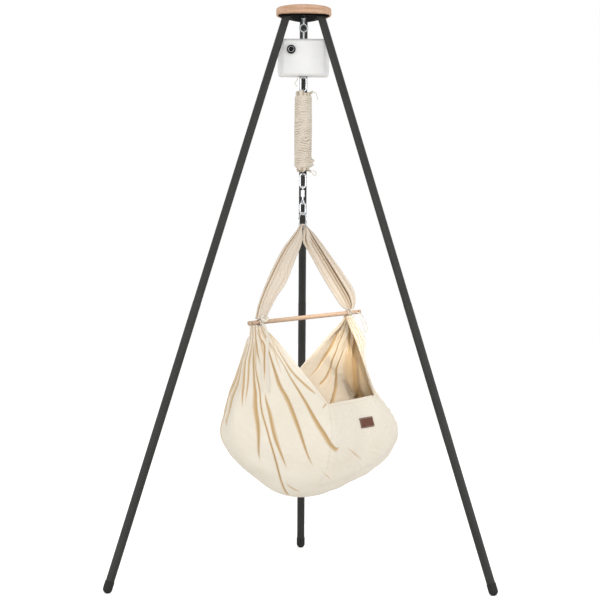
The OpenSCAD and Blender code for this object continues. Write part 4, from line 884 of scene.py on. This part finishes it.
def creased(s, t, points, creases, wall):
    """How far the folds press the cloth into the bag, and the painted shade a point takes in a
    fold. The wall is 1 for the rear one and -1 for the front one."""
    edge_mm, deepest, thin = 1.2, 9, 0.8
    press, fold_shade = np.zeros(s.shape), np.zeros(s.shape)
    for way, side, dark in creases:
        q = along(way, np.linspace(0, len(way) - 1, 6 * len(way)))
        line_ = bag_cloth(q[:, 0], q[:, 1])
        near = (s > q[:, 0].min() - 0.05) & (s < q[:, 0].max() + 0.05) \
            & (t * wall > -0.45) & (t > q[:, 1].min() - 0.3) & (t < q[:, 1].max() + 0.3)
        if not near.any():
            continue
        p = points[near]
        best = np.full(len(p), 1e9)
        width, t_line = np.ones(len(p)), np.zeros(len(p))
        for k in range(len(q) - 1):
            d = line_[k + 1] - line_[k]
            h = np.clip((p - line_[k]) @ d / max(d @ d, 1e-9), 0, 1)
            gap = np.linalg.norm(p - line_[k] - h[:, None] * d, axis=1)
            nearer = gap < best
            best[nearer] = gap[nearer]
            width[nearer] = (q[k, 2] + (q[k + 1, 2] - q[k, 2]) * h)[nearer]
            t_line[nearer] = (q[k, 1] + (q[k + 1, 1] - q[k, 1]) * h)[nearer]
        width = np.maximum(width, thin)
        depth = -wall * min(0.35 * max(point[2] for point in way), deepest)
        inside = 0.5 * (1 + np.tanh(side * np.sign(t[near] - t_line) * best / edge_mm))
        x, hold = best / width, np.clip(width / 4, 0, 1)
        press[near] += hold * depth * (inside * np.clip(1 - x, 0, 1) ** 1.3
                                       - 0.35 * (1 - inside) * np.exp(-2 * x))
        # Painted shade: the strip, and a dark line along its crisp edge
        strip_shade = 0.6 * inside * np.clip((1 - x) / 0.5, 0, 1)
        fold_shade[near] = np.maximum(fold_shade[near],
                                hold * (strip_shade + 0.45 * dark * np.exp(-(best / 2) ** 2)))
    return press, fold_shade


def wrinkled(p):
    """Slow unevenness of cloth that has been folded and washed, in mm."""
    made = 0
    for k, (x, y, z, size_) in enumerate(((.031, .017, .052, .9), (.058, -.03, .021, .7),
                                          (.012, .07, -.045, .6), (.09, .04, .07, .35))):
        made = made + size_ * np.sin(x * p[..., 0] + y * p[..., 1] + z * p[..., 2] + 1.7 * k)
    return made


def bag_shape(s, t):
    """The folded cloth: its bare place, the way in, the shift along that way, and its painted
    shade.
    """
    s, t = np.broadcast_arrays(np.asarray(s, float), np.asarray(t, float))
    p, n = bag_cloth(s, t), bag_in(s, t)
    u = half_way(s)
    panel = np.clip((s - 0.47) / 0.06, 0, 1) * np.clip((-0.2 - t) / 0.12, 0, 1)
    quiet = 1 - 0.85 * panel
    wave = 3.2 * bell(u / 0.8) * np.cos(6 * np.pi * (t + 1))
    gathers = np.cos(13 * np.pi * (t + 1) + 1.5 * np.sin(5 * t) + 6 * u)
    close_by = np.clip(1 - u / 0.4, 0, 1) ** 1.3
    front_press, front_shade = creased(s, t, p, front_creases, -1)
    rear_press, rear_shade = creased(s, t, p, rear_creases, 1)
    pucker = np.sin(0.19 * p[..., 0] + 0.08 * p[..., 2] + 2 * np.sin(0.045 * p[..., 2])) \
        * np.sin(0.07 * p[..., 0] - 0.16 * p[..., 2] + 1.5 * np.sin(0.06 * p[..., 0]))
    press = wave * quiet + 2.6 * close_by * (1 - gathers) + wrinkled(p) * (1 - 0.5 * panel)
    press = press + pucker * (0.45 + 0.75 * panel)
    press = press + front_press * (1 - 0.3 * panel) + rear_press
    press = press + creased(s, t, p, head_creases, 1)[0]
    rim_fade = np.clip((1 - np.abs(t)) / 0.05, 0.15, 1)
    # Painted shade in the hollows of the gathers near the bag's ends
    soft = close_by * (0.4 * np.clip(-gathers, 0, 1) + 0.5 * np.exp(-(1 + gathers) / 0.12))
    fold_shade = np.maximum(np.maximum(front_shade, rear_shade), soft)
    return p, n, np.clip(press, -10, 14) * rim_fade, np.clip(fold_shade, 0, 1)


def cloth_run(p):
    """Lengths along and across a grid of cloth, in metres."""
    along_ = np.concatenate([np.zeros((1, p.shape[1])),
                             np.cumsum(np.linalg.norm(np.diff(p, axis=0), axis=2), 0)])
    across_ = np.concatenate([np.zeros((p.shape[0], 1)),
                              np.cumsum(np.linalg.norm(np.diff(p, axis=1), axis=2), 1)], 1)
    return np.stack([along_, across_ - across_[:, -1:] / 2], -1) / 1000


# Cream canvas: heavy plain cotton, warm white, with painted shade in golden tan and brown
# in its folds
canvas = cotton("cream_cotton_canvas", "#eee6d8", "#e8dfce", "#cdae80", "#8a683e", 1.3)
s_rows = np.linspace(0, 1, 361)[:, None]
x = np.linspace(-1, 1, 301)[None, :]
t_cols = 0.6 * x + 0.4 * np.sin(np.pi * x / 2)
p, n, press, fold_shade = bag_shape(s_rows, t_cols)
uv = cloth_run(p)
edge = np.minimum(uv[..., 1] - uv[:, :1, 1], uv[:, -1:, 1] - uv[..., 1]) * 1000
off_gather = np.clip(half_way(s_rows) / 0.1, 0, 1)
hem = np.clip((12 - edge) / 1.5, 0, 1) * off_gather
seam = np.exp(-((edge - 11.2) / 1.1) ** 2) * off_gather
shift = press - 0.9 * hem + 0.7 * seam
outer = p + n * shift[..., None]
inner = p + n * (press + cloth_t + 0.6 * hem)[..., None]
# Painted shade along the hem's seam
fold_shade = np.clip(fold_shade + 0.2 * seam, 0, 1)
# Painted shade on the inside: a little all over, more at the head end under the rim and in its
# creases
head_shade = np.clip((s_rows - 0.76) / 0.1, 0, 1) * np.clip((0.56 - t_cols) / 0.18, 0, 1)
inner_shade = np.maximum(fold_shade, 0.1 + 0.4 * head_shade * np.clip((t_cols + 0.6) / 0.2, 0, 1))
s_all, t_all = np.broadcast_arrays(s_rows, t_cols)
inner_shade = np.maximum(inner_shade, creased(s_all, t_all, p, head_creases, 1)[1])
bag = sewn("bag_cloth", in_hammock(outer), in_hammock(inner), uv, canvas,
           (fold_shade, inner_shade))
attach(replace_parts(bag, "bag"), "cradle")

# ---------------------------------------------------------------------------------------------
# Front panel. A second layer of the canvas on the outside of the front wall at the head end. Its
# top is hemmed at the bag's rim with a seam; its other edges run out flat on the bag.
# ---------------------------------------------------------------------------------------------
panel_s, panel_t = (0.5, 19 / 24), (-1.0, -1 / 3)


def panel_out(s, t, lift):
    """Place on the outside of the bag, lift mm off its cloth, and the shift there."""
    p, n, press, fold_shade = bag_shape(s, t)
    return p + n * (press - lift)[..., None], fold_shade


s_rows = np.linspace(panel_s[0], panel_s[1], 121)[:, None]
t_cols = np.linspace(panel_t[0], panel_t[1], 111)[None, :]
under, fold_shade = panel_out(s_rows, t_cols, 0)
uv = cloth_run(under)
sides_mm = np.minimum((uv[..., 0] - uv[:1, :, 0]) * 1000, (uv[-1:, :, 0] - uv[..., 0]) * 1000)
sides_mm = np.minimum(sides_mm, (uv[:, -1:, 1] - uv[..., 1]) * 1000)
top_mm = (uv[..., 1] - uv[:, :1, 1]) * 1000
full = np.clip(sides_mm / 25, 0, 1)
full = full * full * (3 - 2 * full)
out_ = -bag_in(s_rows, t_cols)
hem = np.clip((13 - top_mm) / 2, 0, 1) * full
seam = np.exp(-((top_mm - 11) / 1.6) ** 2) * full
under = under + out_ * (0.3 + full)[..., None]
above = under + out_ * (0.3 + 2.1 * full + 0.5 * hem - 0.6 * seam)[..., None]
# Painted shade along the panel's seam
fold_shade = np.clip(fold_shade + 0.12 * seam, 0, 1)
panel = sewn("front_panel_cloth", in_hammock(above), in_hammock(under), uv, canvas,
             (fold_shade, fold_shade))
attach(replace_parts(panel, "front_panel"), "cradle")

# ---------------------------------------------------------------------------------------------
# Label. A plain patch of brown vegetable-tanned leather, 64 by 34 mm with rounded corners,
# sewn on the panel through its edge. It carries nothing.
# ---------------------------------------------------------------------------------------------
label_s, label_t, label_turn = 0.65, -0.776, math.radians(-12)
middle = bag_cloth(label_s, label_t)
out = -bag_in(label_s, label_t)
label_way = bag_cloth(label_s + 0.01, label_t) - bag_cloth(label_s - 0.01, label_t)
label_way /= np.linalg.norm(label_way)
label_up = np.cross(out, label_way)
across_s = (bag_cloth(label_s + 0.002, label_t) - middle) / 0.002
across_t = (bag_cloth(label_s, label_t + 0.002) - middle) / 0.002
slopes = np.array([[across_s @ label_way, across_t @ label_way],
                   [across_s @ label_up, across_t @ label_up]])


def on_label(x, y, lift):
    """Place of a point x, y mm from the label's middle, lift mm over the panel."""
    c, s_ = math.cos(label_turn), math.sin(label_turn)
    x = x - 0.16 * y
    want = np.stack([c * x - s_ * y, s_ * x + c * y], -1)
    st = np.array([label_s, label_t]) + want @ np.linalg.inv(slopes).T
    for _ in range(4):
        d = bag_cloth(st[..., 0], st[..., 1]) - middle
        miss = want - np.stack([d @ label_way, d @ label_up], -1)
        st = st + miss @ np.linalg.inv(slopes).T
    return panel_out(st[..., 0], st[..., 1], 1.3 + cloth_t + lift)[0]


# Vegetable-tanned leather: reddish brown, darker in the cells of its grain, a dull polish
leather, tree, shader = finish_for("brown_tanned_leather", Roughness=0.6, IOR=1.45,
                                   Coat_Weight=0.05, Coat_Roughness=0.4)
place = add(tree, "UVMap", uv_map="cloth")
pebble = add(tree, "TexVoronoi", {"Vector": place, "Scale": 700.0}, feature="DISTANCE_TO_EDGE")
patchy = add(tree, "TexNoise", {"Vector": place, "Scale": 90.0, "Detail": 4.0})
base = add(tree, "Mix", {0: add(tree, "MapRange", {0: patchy, 1: 0.3, 2: 0.7}),
                         6: "#693b26", 7: "#7c482c"}, data_type="RGBA")
add(tree, "Mix", {0: add(tree, "MapRange", {0: pebble, 1: 0.12, 2: 0.0}), 6: base, 7: "#47261b"},
    shader.inputs["Base Color"], data_type="RGBA")
add(tree, "MapRange", {0: patchy, 3: 0.5, 4: 0.68}, shader.inputs["Roughness"])
add(tree, "Bump", {"Height": add(tree, "MapRange", {0: pebble, 2: 0.2}), "Distance": 0.0002,
                   "Strength": 0.7}, shader.inputs["Normal"])

gx, gy = np.meshgrid(np.linspace(-1, 1, 49), np.linspace(-1, 1, 27), indexing="ij")
half_x, half_y, corner = 32, 17, 3.0
px, py = half_x * gx, half_y * gy
inside_x = np.clip(px, -half_x + corner, half_x - corner)
inside_y = np.clip(py, -half_y + corner, half_y - corner)
dx, dy = px - inside_x, py - inside_y
reach = np.maximum(np.hypot(dx, dy), 1e-9)
pull = np.where(reach > corner, corner / reach, 1)
px, py = inside_x + dx * pull, inside_y + dy * pull
rim_mm = np.minimum(half_x - np.abs(px), half_y - np.abs(py))
crown = 1.3 - 0.5 * np.clip(1 - rim_mm / 1.2, 0, 1) - 0.35 * np.exp(-((rim_mm - 3) / 0.7) ** 2)
top_, low_ = on_label(px, py, 1.0 + crown), on_label(px, py, 0.9 + 0 * crown)
label = sewn("label_leather", in_hammock(top_), in_hammock(low_),
             np.stack([px, py], -1) / 1000, leather)
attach(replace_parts(label, "label_patch"), "cradle")

# The stitches of pale thread lie in a groove 3 mm from the edge: each is a short round length
in_x, in_y, stitch, thread_r = half_x - 3, half_y - 3, 4.8, 0.00042
corners = [(-in_x, -in_y), (in_x, -in_y), (in_x, in_y), (-in_x, in_y), (-in_x, -in_y)]
pts, faces, uvs = [], [], []
for (x0, y0), (x1, y1) in zip(corners, corners[1:]):
    count = round(math.hypot(x1 - x0, y1 - y0) / stitch)
    for k in range(count):
        q = (np.linspace(0.16, 0.84, 6) + k) / count
        hump = 2.05 + 0.22 * np.sin(np.linspace(0, np.pi, 6))
        way = on_label(x0 + (x1 - x0) * q, y0 + (y1 - y0) * q, hump)
        p, f, uv = tube(in_hammock(way), thread_r, 6)
        faces += [tuple(v + len(p) * len(pts) for v in face) for face in f]
        pts.append(p)
        uvs.append(uv)
stitches = piece("label_stitches", np.vstack(pts), faces, cotton_string,
                 np.vstack(uvs))
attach(stitches, "cradle")

# ---------------------------------------------------------------------------------------------
# Mattress. A thin foam and wool pad in a white cotton cover, laid in the bottom of the bag: it
# takes the bag's curve, is fullest in the middle and has a sewn seam round its edge.
# ---------------------------------------------------------------------------------------------

# Mattress cover: bleached cotton, nearly white and finer than the bag's canvas, with painted shade
# in its quilting grooves
cover = cotton("white_cotton_cover", "#f3f0ea", "#ece8e0", "#d8cdbb", "#a99a80", 1.1)
s_rows = np.linspace(7 / 24, 17 / 24, 91)[:, None]
t_cols = np.linspace(-1 / 3, 1 / 3, 71)[None, :]
p, n, press, fold_shade = bag_shape(s_rows, t_cols)
q_s, q_t = (s_rows - s_rows[0]) / (s_rows[-1] - s_rows[0]), (t_cols + 1 / 3) * 1.5
pad_long, pad_wide, pad_t, off_bag, quilts = 700, 260, 33, 1, 8
crown = 0.4 + 0.6 * np.sqrt(bell(q_s) * bell(q_t))
edge = np.minimum(np.minimum(q_s, 1 - q_s) * pad_long, np.minimum(q_t, 1 - q_t) * pad_wide)
near_edge = np.clip(edge / 30, 0, 1)
pinch = 0.35 + 0.65 * np.sqrt(near_edge * (2 - near_edge))
quilt = 2.2 * np.exp(-((((q_s * quilts) % 1) - 0.5) / 0.07) ** 2) * near_edge
shared = np.minimum(press, 6)
top_ = p + n * (shared + cloth_t + off_bag + pad_t * crown * pinch - quilt
                - np.maximum(shared, 0) * 0.6)[..., None]
low_ = p + n * (press + cloth_t + off_bag)[..., None]
# The quilting grooves on top take painted shade through the fold value
pad = sewn("mattress_pad", in_hammock(low_), in_hammock(top_), cloth_run(p), cover,
           (0 * quilt, quilt / 3))
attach(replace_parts(pad, "mattress"), "cradle")

# ---------------------------------------------------------------------------------------------
# Floor and light. A pale floor that runs out of the picture, a soft sky of even light, and
# broad lamps in front, at both sides and behind; a spot stands in for the light that comes
# through the thin cotton into the bag.
# ---------------------------------------------------------------------------------------------
mesh = bpy.data.meshes.new("floor")
mesh.from_pydata([(-30, -30, 0), (30, -30, 0), (30, 30, 0), (-30, 30, 0)], [], [(0, 1, 2, 3)])
floor = bpy.data.objects.new("floor", mesh)
bpy.context.scene.collection.objects.link(floor)
pale_floor = bpy.data.materials.new("pale_floor")
pale_floor.use_nodes = True
tree = pale_floor.node_tree
tree.nodes.clear()
seen = add(tree, "LightPath")
own = add(tree, "BsdfDiffuse", {"Color": "#f2f1ef"})
lift = add(tree, "Math", {0: seen.outputs["Is Camera Ray"], 1: 0.45}, operation="MULTIPLY")
glow = add(tree, "Emission", {"Color": (1, 1, 1, 1), "Strength": lift})
add(tree, "OutputMaterial", {"Surface": add(tree, "AddShader", {0: own, 1: glow})})
mesh.materials.append(pale_floor)

world = bpy.data.worlds.new("studio")
bpy.context.scene.world = world
world.use_nodes = True
tree = world.node_tree
tree.nodes.clear()
seen = add(tree, "LightPath")
direct = add(tree, "Math", {0: seen.outputs["Is Camera Ray"], 1: seen.outputs["Is Glossy Ray"]},
             operation="MAXIMUM")
clear = add(tree, "Math", {0: direct, 1: seen.outputs["Is Transmission Ray"]},
            operation="MAXIMUM")
strength = add(tree, "MapRange", {0: clear, 3: 0.72, 4: 1.0})
sky = add(tree, "Background", {"Color": (1, 1, 1, 1), "Strength": strength})
add(tree, "OutputWorld", {"Surface": sky})


def lamp(name, kind, place_, target, watts, **settings):
    """A lamp at a place, turned to its target."""
    light = bpy.data.lights.new(name, kind)
    light.energy = watts
    for key, value in settings.items():
        setattr(light, key, value)
    made = bpy.data.objects.new(name, light)
    made.location = place_
    made.rotation_euler = (Vector(target) - Vector(place_)).to_track_quat("-Z", "Y").to_euler()
    bpy.context.scene.collection.objects.link(made)


lamp("key", "AREA", (-0.6, -5.2, 2.3), (0, axis_y, 0.9), 51, shape="DISK", size=2.2)
lamp("right", "AREA", (3.6, -2.2, 1.7), (0, axis_y, 1.1), 36, shape="DISK", size=2.0)
lamp("left", "AREA", (-3.6, -2.2, 1.7), (0, axis_y, 1.1), 28, shape="DISK", size=2.0)
lamp("back", "AREA", (0.8, 5.0, 2.4), (0, axis_y, 0.9), 38, shape="DISK", size=2.2)
lamp("into_the_bag", "SPOT", (0.25, -2.6, 2.7), (0.08, -0.03, 0.75), 640,
     color=(1.0, 0.93, 0.82), spot_size=math.radians(6.2), spot_blend=1.0, shadow_soft_size=0.15)

bpy.context.scene.view_settings.view_transform = "Standard"
